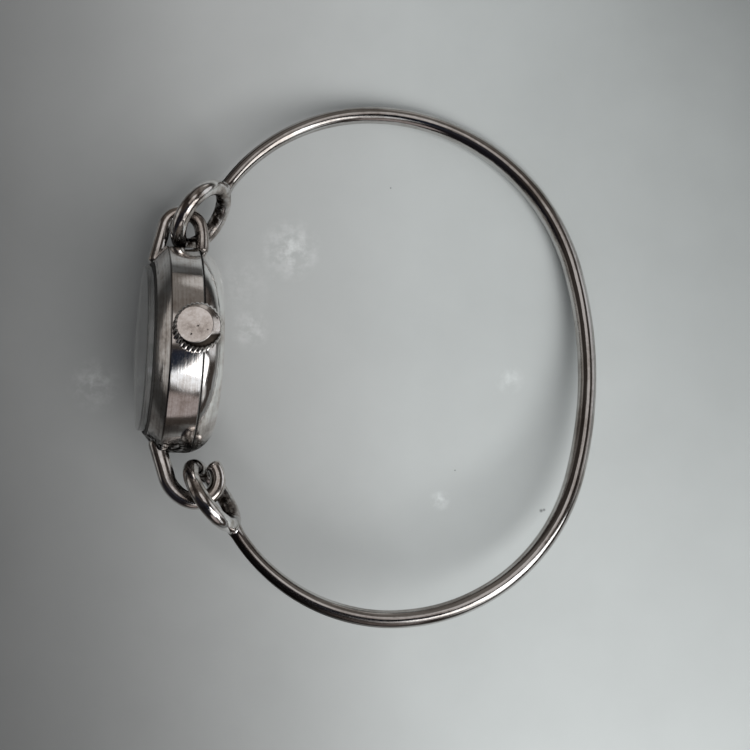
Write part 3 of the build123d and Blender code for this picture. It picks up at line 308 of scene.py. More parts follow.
def carried_rings(path, first_side):
    """For each point of a flat path: the point and two axes square to it, the first out of its plane."""
    count = len(path)
    tangents = []
    for index in range(count):
        before = path[index - 1] if index else path[index]
        after = path[index + 1] if index < count - 1 else path[index]
        tangents.append((after - before).normalized())
    side = first_side
    rings = []
    for point, tangent in zip(path, tangents):
        side = (side - tangent * side.dot(tangent)).normalized()
        rings.append((point, side, tangent.cross(side)))
    return rings


def swept(path, radii, up_axis, shape=None):
    """A round wire along a flat path with a radius at each point, its ends domed.

    Its runs hold each point's length along the wire and its place out of and across the plane,
    in millimetres.
    """
    rings = carried_rings(path, up_axis)
    first, last = (path[0] - path[1]).normalized(), (path[-1] - path[-2]).normalized()
    domed = []
    cap_turns = [radians(turn) for turn in (75, 50, 25)]
    for turn in cap_turns:
        domed.append((rings[0], first * radii[0] * sin(turn) * cap_flatness, radii[0] * cos(turn)))
    for ring, radius in zip(rings, radii):
        domed.append((ring, Vector((0, 0, 0)), radius))
    for turn in reversed(cap_turns):
        domed.append((rings[-1], last * radii[-1] * sin(turn) * cap_flatness, radii[-1] * cos(turn)))
    points, faces, runs = [], [], []
    length, behind = 0.0, domed[0][0][0]
    for (centre, side, across), shift, radius in domed:
        length += (centre - behind).length
        behind = centre
        for index in range(wire_sides):
            turn = tau * index / wire_sides
            reach = radius if shape is None else radius * shape(turn)
            points.append(centre + shift + side * (reach * cos(turn)) + across * (reach * sin(turn)))
            runs.append((length / MM, radius * cos(turn) / MM, radius * sin(turn) / MM))
    for here in range(0, (len(domed) - 1) * wire_sides, wire_sides):
        there = here + wire_sides
        for index in range(wire_sides):
            beside = (index + 1) % wire_sides
            faces.append((here + index, here + beside, there + beside, there + index))
    faces.append(tuple(reversed(range(wire_sides))))
    faces.append(tuple(range((len(domed) - 1) * wire_sides, len(domed) * wire_sides)))
    return points, faces, runs


def torus(matrix, radius, section_radius):
    """Points and faces of a closed ring about local z."""
    turns = [tau * index / wire_sides for index in range(wire_sides)]
    outline = [(radius + section_radius * cos(turn), section_radius * sin(turn)) for turn in turns]
    return turned(outline, matrix, steps=ring_steps)


# Node helpers for the materials and the room
class Tree:
    """A node tree with short calls to add nodes and links."""

    def __init__(self, tree):
        self.tree = tree

    def join(self, source, target):
        """Links a socket to an input, or sets the input to a constant."""
        if isinstance(source, (int, float, tuple, Vector)):
            target.default_value = source
        else:
            self.tree.links.new(source, target)

    def add(self, kind, inputs=None, **settings):
        """A new node with its settings, and its inputs joined by name or place."""
        node = self.tree.nodes.new(kind)
        for key, value in settings.items():
            setattr(node, key, value)
        for key, value in (inputs or {}).items():
            self.join(value, node.inputs[key])
        return node

    def calculate(self, operation, first, second):
        """A Math node on two inputs, each a socket or a number."""
        return self.add("ShaderNodeMath", {0: first, 1: second}, operation=operation).outputs["Value"]

    def mix(self, factor, first, second):
        """Two colours mixed, each a socket or four numbers."""
        inputs = {"Factor": factor, 6: first, 7: second}
        return self.add("ShaderNodeMix", inputs, data_type="RGBA").outputs[2]


class Nodes(Tree):
    """A material's node tree, with its places, patterns and masks as sockets."""

    def __init__(self, name):
        self.material = bpy.data.materials.new(name)
        self.material.use_nodes = True
        super().__init__(self.material.node_tree)
        self.shader = self.tree.nodes["Principled BSDF"]

    def set(self, name, value):
        """Joins a socket or a constant to one of the shader's inputs."""
        self.join(value, self.shader.inputs[name])

    def stretched(self, vector, scale):
        return self.add("ShaderNodeMapping", {"Vector": vector, "Scale": scale}).outputs["Vector"]

    def noise_at(self, vector, scale, detail, roughness=0.55):
        """Noise read at a vector of its own."""
        inputs = {"Vector": vector, "Scale": scale, "Detail": detail, "Roughness": roughness}
        return self.add("ShaderNodeTexNoise", inputs).outputs["Fac"]

    def coordinates(self, scale=(1, 1, 1)):
        """The shaded point's place in the model, stretched by a scale."""
        return self.stretched(self.add("ShaderNodeTexCoord").outputs["Object"], scale)

    def noise(self, scale, detail, roughness=0.55, stretch=(1, 1, 1)):
        """Noise over the model, with a scale in lumps a metre."""
        return self.noise_at(self.coordinates(stretch), scale, detail, roughness)

    def from_place(self, place):
        """The vector from a fixed place to the shaded point."""
        inputs = {0: self.add("ShaderNodeTexCoord").outputs["Object"], 1: place}
        return self.add("ShaderNodeVectorMath", inputs, operation="SUBTRACT").outputs["Vector"]

    def local(self, matrix):
        """The shaded point's three lengths in a frame of the model."""
        away = self.from_place(matrix.translation)
        lengths = []
        for column in range(3):
            inputs = {0: away, 1: tuple(matrix.col[column][:3])}
            length = self.add("ShaderNodeVectorMath", inputs, operation="DOT_PRODUCT")
            lengths.append(length.outputs["Value"])
        return lengths

    def distance(self, place):
        away = self.from_place(place)
        return self.add("ShaderNodeVectorMath", {0: away}, operation="LENGTH").outputs["Value"]

    def combine(self, x, y, z):
        return self.add("ShaderNodeCombineXYZ", {"X": x, "Y": y, "Z": z}).outputs["Vector"]

    def scaled(self, value, share):
        return self.calculate("MULTIPLY", value, share)

    def both(self, first, second):
        return self.calculate("MULTIPLY", first, second)

    def either(self, first, second):
        return self.calculate("MAXIMUM", first, second)

    def sum(self, first, second, share):
        """first plus a share of second."""
        inputs = {0: second, 1: share, 2: first}
        return self.add("ShaderNodeMath", inputs, operation="MULTIPLY_ADD").outputs["Value"]

    def reach(self, across, up):
        """The distance from an axis, from two lengths square to it."""
        squares = self.calculate("ADD", self.both(across, across), self.both(up, up))
        return self.calculate("SQRT", squares, 0.0)

    def range(self, value, low, high, from_low=0.3, from_high=0.7):
        """low to high as the value goes from from_low to from_high, and no further."""
        inputs = {"From Min": from_low, "From Max": from_high, "To Min": low, "To Max": high}
        return self.add("ShaderNodeMapRange", {"Value": value, **inputs}).outputs["Result"]

    def near(self, value, target, width):
        """1 at the target, falling to 0 at a width from it."""
        off = self.calculate("ABSOLUTE", self.calculate("SUBTRACT", value, target), 0.0)
        return self.range(off, 1.0, 0.0, 0.0, width)

    def around(self, place, full_within, none_beyond):
        """1 within a distance of a place, falling to 0 at a greater one."""
        return self.range(self.distance(place), 1.0, 0.0, full_within, none_beyond)

    def ramp(self, factor, stops):
        """A colour ramp from (place, colour) stops."""
        ramp = self.add("ShaderNodeValToRGB", {"Fac": factor})
        elements = ramp.color_ramp.elements
        while len(elements) < len(stops):
            elements.new(0.5)
        for element, (place, colour) in zip(elements, stops):
            element.position = place
            element.color = (*colour, 1)
        return ramp.outputs["Color"]

    def bump(self, height, strength, distance):
        inputs = {"Height": height, "Strength": strength, "Distance": distance}
        self.set("Normal", self.add("ShaderNodeBump", inputs).outputs["Normal"])


# Silvers: each is begun, given its own marks, tarnish, and soot with painted shade, and then finished
def silver_base(name, light, stained, dark, rough, clouds_scale=230.0):
    """Worn silver: its colours and roughness, with the tarnish and dents as sockets to add to."""
    made = Nodes(name)
    made.tones = (light, stained, dark)
    made.rough = rough
    made.tarnish = made.sum(made.noise(clouds_scale, 5.0), made.noise(2300.0, 6.0, roughness=0.7), 0.35)
    made.dents = made.sum(made.scaled(made.noise(5200.0, 3.0), 0.6), made.noise(520.0, 2.0), 1.4)
    return made


def silver_done(made):
    """Links a silver's tarnish, soot and painted shade, and dents to its shader; the soot and painted shade
    take the shine off edges too.
    """
    tones = made.ramp(made.tarnish, list(zip(tarnish_levels, made.tones)))
    # Soot and painted shade go near black, and their Specular Tint keeps them dark at grazing angles
    soot_tones = made.ramp(made.soot, [(0.0, (0.045, 0.035, 0.03)), (1.0, (0.03, 0.024, 0.02))])
    rough = made.range(made.tarnish, made.rough * 0.8, made.rough * 2.6, 0.55, 0.9)
    made.set("Metallic", 1.0)
    made.set("Base Color", made.mix(made.soot, tones, soot_tones))
    made.set("Roughness", made.sum(rough, made.soot, 0.25))
    made.set("Specular Tint", made.ramp(made.soot, [(0.25, (1.0, 1.0, 1.0)), (0.85, (0.03, 0.028, 0.03))]))
    made.bump(made.dents, 1.0, silver_bump)
    return made.material


def case_silver(name):
    """The case's silver: gentle waves across the band, brushed smudges, tarnish along its joints, and
    painted shade by the crystal and along the bezel's corner.
    """
    made = silver_base(name, (0.84, 0.825, 0.81), (0.62, 0.575, 0.54), (0.24, 0.20, 0.18), 0.075)
    across, up, out = made.local(watch)
    reach = made.reach(across, up)
    waves = made.noise_at(made.combine(across, up, made.scaled(out, 0.12)), 420.0, 2.0)
    lines = made.noise_at(made.combine(reach, made.scaled(out, 1.0), made.scaled(up, 0.02)), 5200.0, 3.0)
    made.dents = made.sum(made.sum(made.dents, waves, 3.2), lines, 1.1)
    made.tarnish = made.sum(made.scaled(made.tarnish, 0.8), lines, 0.28)
    seam = made.near(out, -seam_gap / 2, seam_soot_width)
    # Painted shade on the bezel's inner edge, where it meets the crystal
    crystal_gap_shade = made.both(
        made.range(reach, 1.0, 0.0, bezel_inner_radius + 0.05 * MM, bezel_inner_radius + 0.22 * MM),
        made.range(out, 0.0, 1.0, band_width - 0.3 * MM, band_width + 0.2 * MM),
    )
    # Tarnish and a painted dark line of shade along the corner between band and bezel
    corner_tarnish_and_shade = made.both(made.near(out, band_width, 0.16 * MM), made.near(reach, case_radius, 0.5 * MM))
    speckled = made.range(made.noise(2600.0, 5.0), 0.35, 1.0, 0.35, 0.6)
    grooves = made.noise_at(made.combine(reach, out, made.scaled(up, 0.05)), 3300.0, 3.0)
    sloped = made.range(out, 0.0, 1.0, band_width + 0.05 * MM, band_width + 0.35 * MM)
    patchy = made.range(made.noise(330.0, 3.0), 0.0, 1.0, 0.48, 0.66)
    scored = made.both(made.both(sloped, patchy), made.range(grooves, 0.0, 0.8, 0.5, 0.62))
    wear_and_painted_shade = made.either(made.scaled(corner_tarnish_and_shade, 0.7), scored)
    for place, black_within, clean_beyond in solder_soot:
        wear_and_painted_shade = made.either(wear_and_painted_shade, made.both(made.around(place, black_within, clean_beyond), speckled))
    made.soot = made.either(made.both(made.either(seam, crystal_gap_shade), speckled), wear_and_painted_shade)
    return silver_done(made)


def lug_silver(name, soot_and_shade_places, drawn_wire=True):
    """Silver of the soldered wires: draw marks along them, and soot with painted shade, black in their
    hollows and at their roots.
    """
    made = silver_base(name, (0.80, 0.785, 0.77), (0.46, 0.415, 0.38), (0.11, 0.09, 0.08), 0.085)
    if drawn_wire:
        run = made.add("ShaderNodeAttribute", attribute_name="run").outputs["Vector"]
        streaks = made.noise_at(made.stretched(run, (0.16, 2.6, 2.6)), 1.0, 5.0)
    else:
        streaks = made.noise(900.0, 5.0)
    made.tarnish = made.sum(made.scaled(made.tarnish, 0.55), streaks, 0.62)
    made.dents = made.sum(made.dents, streaks, 3.0)
    # Painted shade, with soot, in the hollows and at the roots
    dark = reduce(made.either, [made.around(*soot_and_shade_place) for soot_and_shade_place in soot_and_shade_places])
    made.soot = made.both(dark, made.range(made.noise(1500.0, 5.0), 0.35, 1.0, 0.36, 0.56))
    return silver_done(made)


def wire_metal(name, ends):
    """Silver of the bangle: long draw marks and tarnish bands along it, and near its ends soot with painted
    shade on its outer side.
    """
    made = silver_base(name, (0.56, 0.545, 0.53), (0.30, 0.272, 0.25), (0.085, 0.07, 0.063), 0.075, 160.0)
    run = made.add("ShaderNodeAttribute", attribute_name="run").outputs["Vector"]
    streaks = made.noise_at(made.stretched(run, (0.05, 1.5, 1.5)), 1.0, 6.0)
    marks = made.noise_at(made.stretched(run, (0.25, 9.0, 9.0)), 1.0, 3.0)
    made.tarnish = made.sum(made.scaled(made.tarnish, 0.45), made.sum(streaks, marks, 0.3), 0.55)
    made.dents = made.sum(made.sum(made.dents, streaks, 2.0), marks, 1.6)
    across_millimetres = made.add("ShaderNodeSeparateXYZ", {"Vector": run}).outputs["Z"]
    # Soot and painted shade on the wire's outer side near its ends
    outer_side_soot_and_shade = made.range(across_millimetres, 1.0, 0.0, -0.75, 0.05)
    beside_ends = reduce(made.either, [made.around(*end) for end in ends])
    broken = made.range(streaks, 0.3, 1.0, 0.36, 0.55)
    made.soot = made.both(made.both(outer_side_soot_and_shade, beside_ends), broken)
    return silver_done(made)


def crown_silver(name):
    """The crown's silver: a rubbed face with a few dark pits, grime in the knurls and a painted dark
    reflection on its lower shoulder.
    """
    made = silver_base(name, (0.78, 0.745, 0.72), (0.64, 0.59, 0.55), (0.34, 0.29, 0.26), 0.14)
    across, up, out = made.local(stem_frame)
    reach = made.reach(across, up)
    pits = made.add("ShaderNodeTexVoronoi", {"Scale": 1450.0, "Vector": made.coordinates()}, feature="F1")
    rare = made.range(made.noise(900.0, 1.0), 0.0, 1.0, 0.60, 0.66)
    holes = made.both(made.range(pits.outputs["Distance"], 1.0, 0.0, 0.10, 0.20), rare)
    grime = made.range(reach, 1.0, 0.0, crown_radius - knurl_depth * 0.75, crown_radius - knurl_depth * 0.2)
    skirt_only = made.range(out, 1.0, 0.0, skirt_end - 0.1 * MM, skirt_end + 0.3 * MM)
    # Painted dark reflection: a dark crescent on the shoulder below the worn facet
    lower_side = made.range(made.sum(made.scaled(across, -0.98), up, -0.2), 0.0, 1.0, 0.95 * MM, 1.25 * MM)
    facet_middle = stem_frame @ Vector((0, 0.46 * MM, crown_flat_reach))
    off_facet = made.range(made.distance(facet_middle), 0.0, 1.0, 1.80 * MM, 1.90 * MM)
    off_skirt = made.range(out, 0.0, 1.0, skirt_end + 0.3 * MM, skirt_end + 0.6 * MM)
    shaded = made.both(made.both(lower_side, off_facet), off_skirt)
    made.soot = made.either(made.either(holes, shaded), made.both(grime, skirt_only))
    made.dents = made.sum(made.dents, holes, -6.0)
    return silver_done(made)


# The other materials: each ramps between two colours over a fine noise
def rubber(name):
    """Matt black rubber with a fine grain and dust."""
    made = Nodes(name)
    grain = made.noise(9000.0, 4.0)
    made.set("Base Color", made.ramp(grain, [(0.3, (0.012, 0.012, 0.012)), (0.8, (0.05, 0.048, 0.045))]))
    made.set("Roughness", 0.75)
    made.bump(grain, 0.2, 0.02 * MM)
    return made.material


def clear_glass(name):
    """A clear, slightly warm crystal with faint wear in its polish."""
    made = Nodes(name)
    wear = made.noise(2600.0, 6.0)
    made.set("Base Color", made.ramp(wear, [(0.3, (0.97, 0.975, 0.965)), (0.8, (0.90, 0.91, 0.89))]))
    made.set("Transmission Weight", 0.95)
    made.set("IOR", 1.49)
    made.set("Roughness", made.range(wear, 0.01, 0.08))
    made.bump(made.noise(4200.0, 2.0, stretch=(1.0, 0.2, 1.0)), 0.03, 0.02 * MM)
    return made.material


def enamel(name, light, shaded, rough=0.4):
    """A painted surface with a fine orange-peel and slight ageing."""
    made = Nodes(name)
    age = made.noise(500.0, 6.0)
    made.set("Base Color", made.ramp(age, [(0.3, light), (0.8, shaded)]))
    made.set("Roughness", made.range(age, rough * 0.8, rough * 1.2))
    made.bump(made.noise(7000.0, 3.0), 0.05, 0.01 * MM)
    return made.material


def metal(name, light, dark, rough):
    """A plain metal with a fine directional grain and clouds of slight discolouring."""
    made = Nodes(name)
    brushed = made.noise(6000.0, 3.0, stretch=(1.0, 0.08, 1.0))
    made.set("Metallic", 1.0)
    made.set("Base Color", made.ramp(made.noise(700.0, 5.0), [(0.3, light), (0.8, dark)]))
    made.set("Roughness", made.range(brushed, rough * 0.7, rough * 1.4))
    made.bump(brushed, 0.12, 0.01 * MM)
    return made.material


def ruby(name):
    """Polished red synthetic ruby with faint curved growth clouds."""
    made = Nodes(name)
    clouds = made.noise(3000.0, 2.0)
    made.set("Base Color", made.ramp(clouds, [(0.3, (0.42, 0.01, 0.05)), (0.8, (0.66, 0.03, 0.12))]))
    made.set("Roughness", 0.05)
    made.set("IOR", 1.76)
    made.set("Coat Weight", 0.5)
    made.bump(clouds, 0.02, 0.01 * MM)
    return made.material


def on_lug_plane(height, along):
    """A point of the plane that the two lugs are bent in, as a world point."""
    return lug_plane @ Vector((height, along, 0))


# Places of soot, painted shade and painted dark reflection, as (place, black within, clean beyond)
# Soot by both soldered lugs; at the case's lower end it is also a painted dark reflection
solder_soot = [
    (spot(0, -case_radius, 1.6 * MM), 3.3 * MM, 5.4 * MM),
    (spot(0, case_radius, 0.8 * MM), 2.0 * MM, 3.4 * MM),
]
hook_soot_and_shade = [
    (on_lug_plane(3.5 * MM, -11.3 * MM), 0.0, 1.5 * MM),
    (on_lug_plane(2.2 * MM, -11.3 * MM), 0.0, 1.1 * MM),
    (on_lug_plane(0, -13.9 * MM), 1.7 * MM, 2.7 * MM),
]
loop_soot_and_shade = [
    (on_lug_plane(4.0 * MM, 10.9 * MM), 0.0, 1.3 * MM),
    (on_lug_plane(-0.9 * MM, 11.5 * MM), 0.0, 1.4 * MM),
    (on_lug_plane(1.3 * MM, 13.2 * MM), 1.6 * MM, 2.4 * MM),
]
silver = case_silver("case_silver")
hook_silver = lug_silver("hook_silver", hook_soot_and_shade)
loop_silver = lug_silver("loop_silver", loop_soot_and_shade)
crown_metal = crown_silver("crown_silver")
black_rubber = rubber("black_rubber")
glass = clear_glass("crystal_glass")
slot_materials = {
    "silver": silver,
    "black_rubber": black_rubber,
    "clear_glass": glass,
    "white_enamel": enamel("dial_enamel", (0.84, 0.82, 0.76), (0.76, 0.73, 0.66)),
    "black_print": enamel("dial_print", (0.02, 0.02, 0.02), (0.05, 0.045, 0.04), rough=0.5),
    "blued_steel": metal("blued_steel", (0.05, 0.08, 0.30), (0.03, 0.04, 0.16), rough=0.18),
    "gilt_brass": metal("gilt_brass", (0.86, 0.66, 0.34), (0.74, 0.55, 0.27), rough=0.35),
    "plain_brass": metal("plain_brass", (0.80, 0.62, 0.30), (0.66, 0.50, 0.24), rough=0.22),
    "bright_steel": metal("bright_steel", (0.62, 0.62, 0.62), (0.50, 0.50, 0.51), rough=0.20),
    "ruby": ruby("ruby"),
}
for subpart in frame["record"]["subparts"]:
    node_mesh = frame["nodes"][subpart["node"]].data
    node_mesh.materials.clear()
    node_mesh.materials.append(slot_materials[subpart["material_slot"]])


# Case body: a worn polished band, a sloped bezel and a slightly sunk crystal seat
case_outline = rounded(
    [
        (back_bore_radius, 0),
        (case_radius, 0),
        (case_radius, band_width),
        (bezel_inner_radius, bezel_height),
        (bezel_inner_radius, crystal_seat_height),
        (flange_radius, crystal_seat_height),
        (flange_radius, flange_height),
        (case_bore_radius, flange_height),
        (case_bore_radius, back_bore_depth),
        (back_bore_radius, back_bore_depth),
    ],
    {1: small_round, 2: polish_round * 1.5, 3: small_round},
)
case_piece = piece("case_band_and_bezel", turned(case_outline, watch), "head", silver)
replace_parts(case_piece, "case_body")

# Snap back
back_shoulder = Vector((back_shoulder_radius, -back_shoulder_depth))
bulge_places = [
    Vector((back_rim_radius, -seam_gap)),
    Vector((back_bulge_radius, -back_bulge_depth)),
    back_shoulder,
]


def arc_through(first, middle, last, step):
    """Points of the arc through three points."""
    ax, ay = first
    bx, by = middle
    cx, cy = last
    a_square, b_square, c_square = ax * ax + ay * ay, bx * bx + by * by, cx * cx + cy * cy
    twice = 2 * (ax * (by - cy) + bx * (cy - ay) + cx * (ay - by))
    centre_x = (a_square * (by - cy) + b_square * (cy - ay) + c_square * (ay - by)) / twice
    centre_y = (a_square * (cx - bx) + b_square * (ax - cx) + c_square * (bx - ax)) / twice
    radius = hypot(ax - centre_x, ay - centre_y)
    from_turn = atan2(ay - centre_y, ax - centre_x)
    to_turn = atan2(cy - centre_y, cx - centre_x)
    return arc((centre_x, centre_y), radius, from_turn, to_turn, step)


bulge = arc_through(*bulge_places, outline_step)
dome, _ = tangent_arc((0, -back_depth), (1, 0), back_shoulder, outline_step)
inner_dome = [
    Vector((0, back_wall - back_depth)),
    Vector((back_shoulder_radius - back_wall, back_wall - back_shoulder_depth)),
]
back_corners = bulge + list(reversed(dome))[1:] + inner_dome + [
    Vector((skirt_inner_radius, -back_bulge_depth)),
    Vector((skirt_inner_radius, skirt_rise)),
    Vector((skirt_outer_radius, skirt_rise)),
    Vector((skirt_outer_radius, -seam_gap)),
]
# Points too close to the shoulder would spoil its rounding
clear_of_shoulder = back_round * 0.6
back_outline = [
    corner
    for corner in back_corners
    if corner is bulge[-1] or (corner - bulge[-1]).length > clear_of_shoulder
]
back_outline = rounded(back_outline, {back_outline.index(bulge[-1]): back_round})
back_piece = piece("case_back_bowl", turned(back_outline, watch), "head", silver)
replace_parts(back_piece, "case_back")

# Crystal
crystal_edge = (crystal_radius, crystal_edge_height)
crystal_top, _ = tangent_arc((0, crystal_top_height), (1, 0), crystal_edge, outline_step)
crystal_under = [
    Vector((0, crystal_edge_height - crystal_wall)),
    Vector((crystal_radius - crystal_wall, crystal_edge_height - crystal_wall)),
]
crystal_outline = rounded(
    crystal_under
    + [
        Vector((crystal_radius - crystal_wall, crystal_seat_height)),
        Vector((crystal_radius, crystal_seat_height)),
        Vector(crystal_edge),
    ]
    + list(reversed(crystal_top))[2:],
    {len(crystal_under) + 2: polish_round},
)
crystal_piece = piece("crystal_dome", turned(crystal_outline, watch), "head", glass)
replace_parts(crystal_piece, "crystal")


# Gasket lip in the gap round the crystal, raised so that its black shows past the bezel as a painted dark
# line of shade along the crystal's edge
lip_clearance = 0.02 * MM
lip_rise = 0.15 * MM
lip_inner, lip_outer = crystal_radius + lip_clearance, bezel_inner_radius - lip_clearance
lip_low, lip_high = crystal_seat_height + lip_clearance, bezel_height + lip_rise
lip_outline = rounded(
    [(lip_inner, lip_low), (lip_outer, lip_low), (lip_outer, lip_high), (lip_inner, lip_high)],
    {2: 2 * small_round, 3: small_round},
)
gasket_and_shade_lip = piece("crystal_gasket_and_shade_lip", turned(lip_outline, watch), "head", black_rubber)
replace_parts(gasket_and_shade_lip, "crystal_gasket")


# Soldered lugs: thick wires, a little flattened, each with a worn ridge along it
def worn_section(flat, ridge, ridge_turn):
    """The share of the wire's radius at a turn: slightly oval, with one low ridge."""

    def share(turn):
        oval = 1 - flat * cos(2 * turn) ** 2
        off = (turn - ridge_turn + pi) % tau - pi
        return oval + ridge * max(0.0, 1 - abs(off) / ridge_half_turn)

    return share


lug_axis = lug_plane.to_3x3() @ Vector((0, 0, 1))


def lug(name, node, legs, radius, taper, section, material):
    """A soldered lug: a straight leg, then tangent arcs through the other places, tapered."""
    path = []
    direction = Vector(legs[1]) - Vector(legs[0])
    steps = max(2, ceil(direction.length / lug_step))
    for index in range(steps):
        path.append(Vector(legs[0]) + direction * (index / steps))
    direction.normalize()
    for start, end in zip(legs[1:], legs[2:]):
        points, direction = tangent_arc(start, direction, end, lug_step)
        path += points[:-1]
    path.append(Vector(legs[-1]))
    world = [on_lug_plane(*point) for point in path]
    radii = [radius * taper(index / (len(world) - 1)) for index in range(len(world))]
    made = piece(name, swept(world, radii, lug_axis, shape=section), "head", material)
    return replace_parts(made, node)


lug(
    "hook_wire",
    "hook_lug",
    [hook_root, hook_leg, hook_bottom, hook_tip],
    hook_wire_radius,
    lambda share: 1.0 - 0.10 * share,
    worn_section(0.06, 0.05, radians(60.0)),
    hook_silver,
)
lug(
    "loop_wire",
    "loop_lug",
    [loop_root, loop_leg, loop_rear, loop_tail],
    loop_wire_radius,
    lambda share: 1.04 - 0.08 * share,
    worn_section(0.05, 0.06, radians(60.0)),
    loop_silver,
)

# Bangle
far_centre = (bangle_far_reach - bangle_far_radius, -bangle_drop)


def side_place(side_radius, side):
    """The middle of a side arc that runs tangent into the far arc."""
    aside = bangle_half_width - side_radius
    along = sqrt((bangle_far_radius - side_radius) ** 2 - aside**2)
    return (far_centre[0] + along, far_centre[1] + side * aside)


def far_turn(place):
    """The turn along the far arc from its middle to a side arc."""
    return atan2(abs(place[1] - far_centre[1]), place[0] - far_centre[0])


def eye_root(inner, bearing):
    """The far point of an eye ring, where the wire joins it."""
    return (inner[0] + 2 * eye_radius * cos(bearing), inner[1] + 2 * eye_radius * sin(bearing))


def eye_frame(inner, bearing, side):
    """The frame of an eye ring, its axis along local z."""
    hoop_x, hoop_y, hoop_z = (hoop.to_3x3() @ axis for axis in Matrix.Identity(3))
    along = hoop_x * cos(bearing) + hoop_y * sin(bearing)
    outward = (hoop_y * cos(bearing) - hoop_x * sin(bearing)) * side
    across = hoop_z * cos(eye_twist_angle) + outward * sin(eye_twist_angle)
    middle = Vector((inner[0] + eye_radius * cos(bearing), inner[1] + eye_radius * sin(bearing), 0))
    return basis(hoop @ middle, along, across)


upper_root = eye_root(upper_eye_inner, upper_eye_bearing)
lower_root = eye_root(lower_eye_inner, lower_eye_bearing)
upper_place = side_place(upper_side_radius, 1)
lower_place = side_place(lower_side_radius, -1)
upper_turn = far_turn(upper_place)
lower_turn = far_turn(lower_place)
upper_top = (upper_place[0], upper_place[1] + upper_side_radius)
lower_top = (lower_place[0], lower_place[1] - lower_side_radius)
upper_end, _ = tangent_arc(upper_top, (-1, 0), upper_root, wire_step)
lower_end, _ = tangent_arc(lower_top, (-1, 0), lower_root, wire_step)
upper_side = arc(upper_place, upper_side_radius, pi / 2, upper_turn, wire_step)
far_side = arc(far_centre, bangle_far_radius, upper_turn, -lower_turn, wire_step)
lower_side = arc(lower_place, lower_side_radius, -lower_turn, -pi / 2, wire_step)
flat_path = list(reversed(upper_end)) + upper_side[1:] + far_side[1:] + lower_side[1:] + lower_end[1:]


def lengths_along(points):
    """The length along a path at each of its points."""
    lengths = [0.0]
    for before, after in zip(points, points[1:]):
        lengths.append(lengths[-1] + (after - before).length)
    return lengths


run = lengths_along(flat_path)
end_run = lengths_along(upper_end)[-1]
side_run = end_run + lengths_along(upper_side)[-1]


def eased(value, low_at, high_at, low, high):
    share = min(1.0, max(0.0, (value - low_at) / (high_at - low_at)))
    return low + (high - low) * share


def wire_radius(length):
    """The wire's radius at a length from the nearer end."""
    if length < solder_length:
        return eased(length, 0, solder_length, solder_wire_radius, end_wire_radius)
    if length < end_run:
        return eased(length, solder_length, end_run, end_wire_radius, side_wire_radius)
    return eased(length, end_run, side_run, side_wire_radius, far_wire_radius)


wire_path = [hoop @ Vector((*point, 0)) for point in flat_path]
wire_radii = [wire_radius(min(length, run[-1] - length)) - wear_depth for length in run]


# Slight hammer and polishing unevenness, as on a wire shaped by hand. Blender's noise takes its place from
# the clock unless it is seeded, and the wire has to come out the same in every run.
bangle_points, bangle_faces, bangle_runs = swept(wire_path, wire_radii, bangle_three)
noise.seed_set(wear_seed)
uneven_points = [point + noise.noise_vector(point / wear_size) * wear_depth for point in bangle_points]
bangle_shape = (uneven_points, bangle_faces, bangle_runs)
wire_silver = wire_metal(
    "wire_silver", [(wire_path[0], 3.0 * MM, 8.0 * MM), (wire_path[-1], 12.0 * MM, 24.0 * MM)]
)
bangle_piece = piece("bangle_wire_worn", bangle_shape, "bangle", wire_silver)
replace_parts(bangle_piece, "bangle_wire")


upper_frame = eye_frame(upper_eye_inner, upper_eye_bearing, 1)
lower_frame = eye_frame(lower_eye_inner, lower_eye_bearing, -1)
eye_soot_and_shade = []
for root, frame_of_eye, inner in (
    (upper_root, upper_frame, upper_eye_inner),
    (lower_root, lower_frame, lower_eye_inner),
):
    # Painted shade, with soot, at the eye's root, inside the ring and at its inner end
    eye_soot_and_shade += [
        (hoop @ Vector((*root, 0)), 0.0, 1.5 * MM),
        (frame_of_eye.translation, eye_radius - 0.65 * MM, eye_radius + 0.15 * MM),
        (hoop @ Vector((*inner, 0)), 0.9 * MM, 2.3 * MM),
    ]
eye_silver = lug_silver("eye_silver", eye_soot_and_shade, drawn_wire=False)


def soldered_eye(name, node, matrix, wire_end, wire_end_radii):
    """An eye ring and the end of its wire melted into one form with a filled joint."""
    ring_points, ring_faces, _ = torus(matrix, eye_radius, eye_wire_radius)
    stub_points, stub_faces, _ = swept(wire_end, wire_end_radii, bangle_three)
    offset = len(ring_points)
    points = ring_points + stub_points
    faces = ring_faces + [tuple(index + offset for index in face) for face in stub_faces]
    made = piece(name, (points, faces, None), "bangle", eye_silver)
    remesh = made.modifiers.new("melt", "REMESH")
    remesh.mode = "VOXEL"
    remesh.voxel_size = melt_size
    graph = bpy.context.evaluated_depsgraph_get()
    melted = bpy.data.meshes.new_from_object(made.evaluated_get(graph))
    made.modifiers.clear()
    made.data = melted
    shape = bmesh.new()
    shape.from_mesh(melted)
    near = [vertex for vertex in shape.verts if (vertex.co - wire_end[0]).length < melt_reach]
    for vertices, smoothings in ((near, joint_smoothings), (shape.verts, eye_smoothings)):
        for _ in range(smoothings):
            bmesh.ops.smooth_vert(
                shape, verts=vertices, factor=0.5, use_axis_x=True, use_axis_y=True, use_axis_z=True
            )
    shape.to_mesh(melted)
    shape.free()
    finish_mesh(made, pi)
    if not melted.materials:
        melted.materials.append(eye_silver)
    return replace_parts(made, node)


for name, node, matrix, path, radii in (
    ("upper_eye_soldered", "upper_eye", upper_frame, wire_path, wire_radii),
    ("lower_eye_soldered", "lower_eye", lower_frame, wire_path[::-1], wire_radii[::-1]),
):
    soldered_eye(name, node, matrix, path[:stub_count], radii[:stub_count])

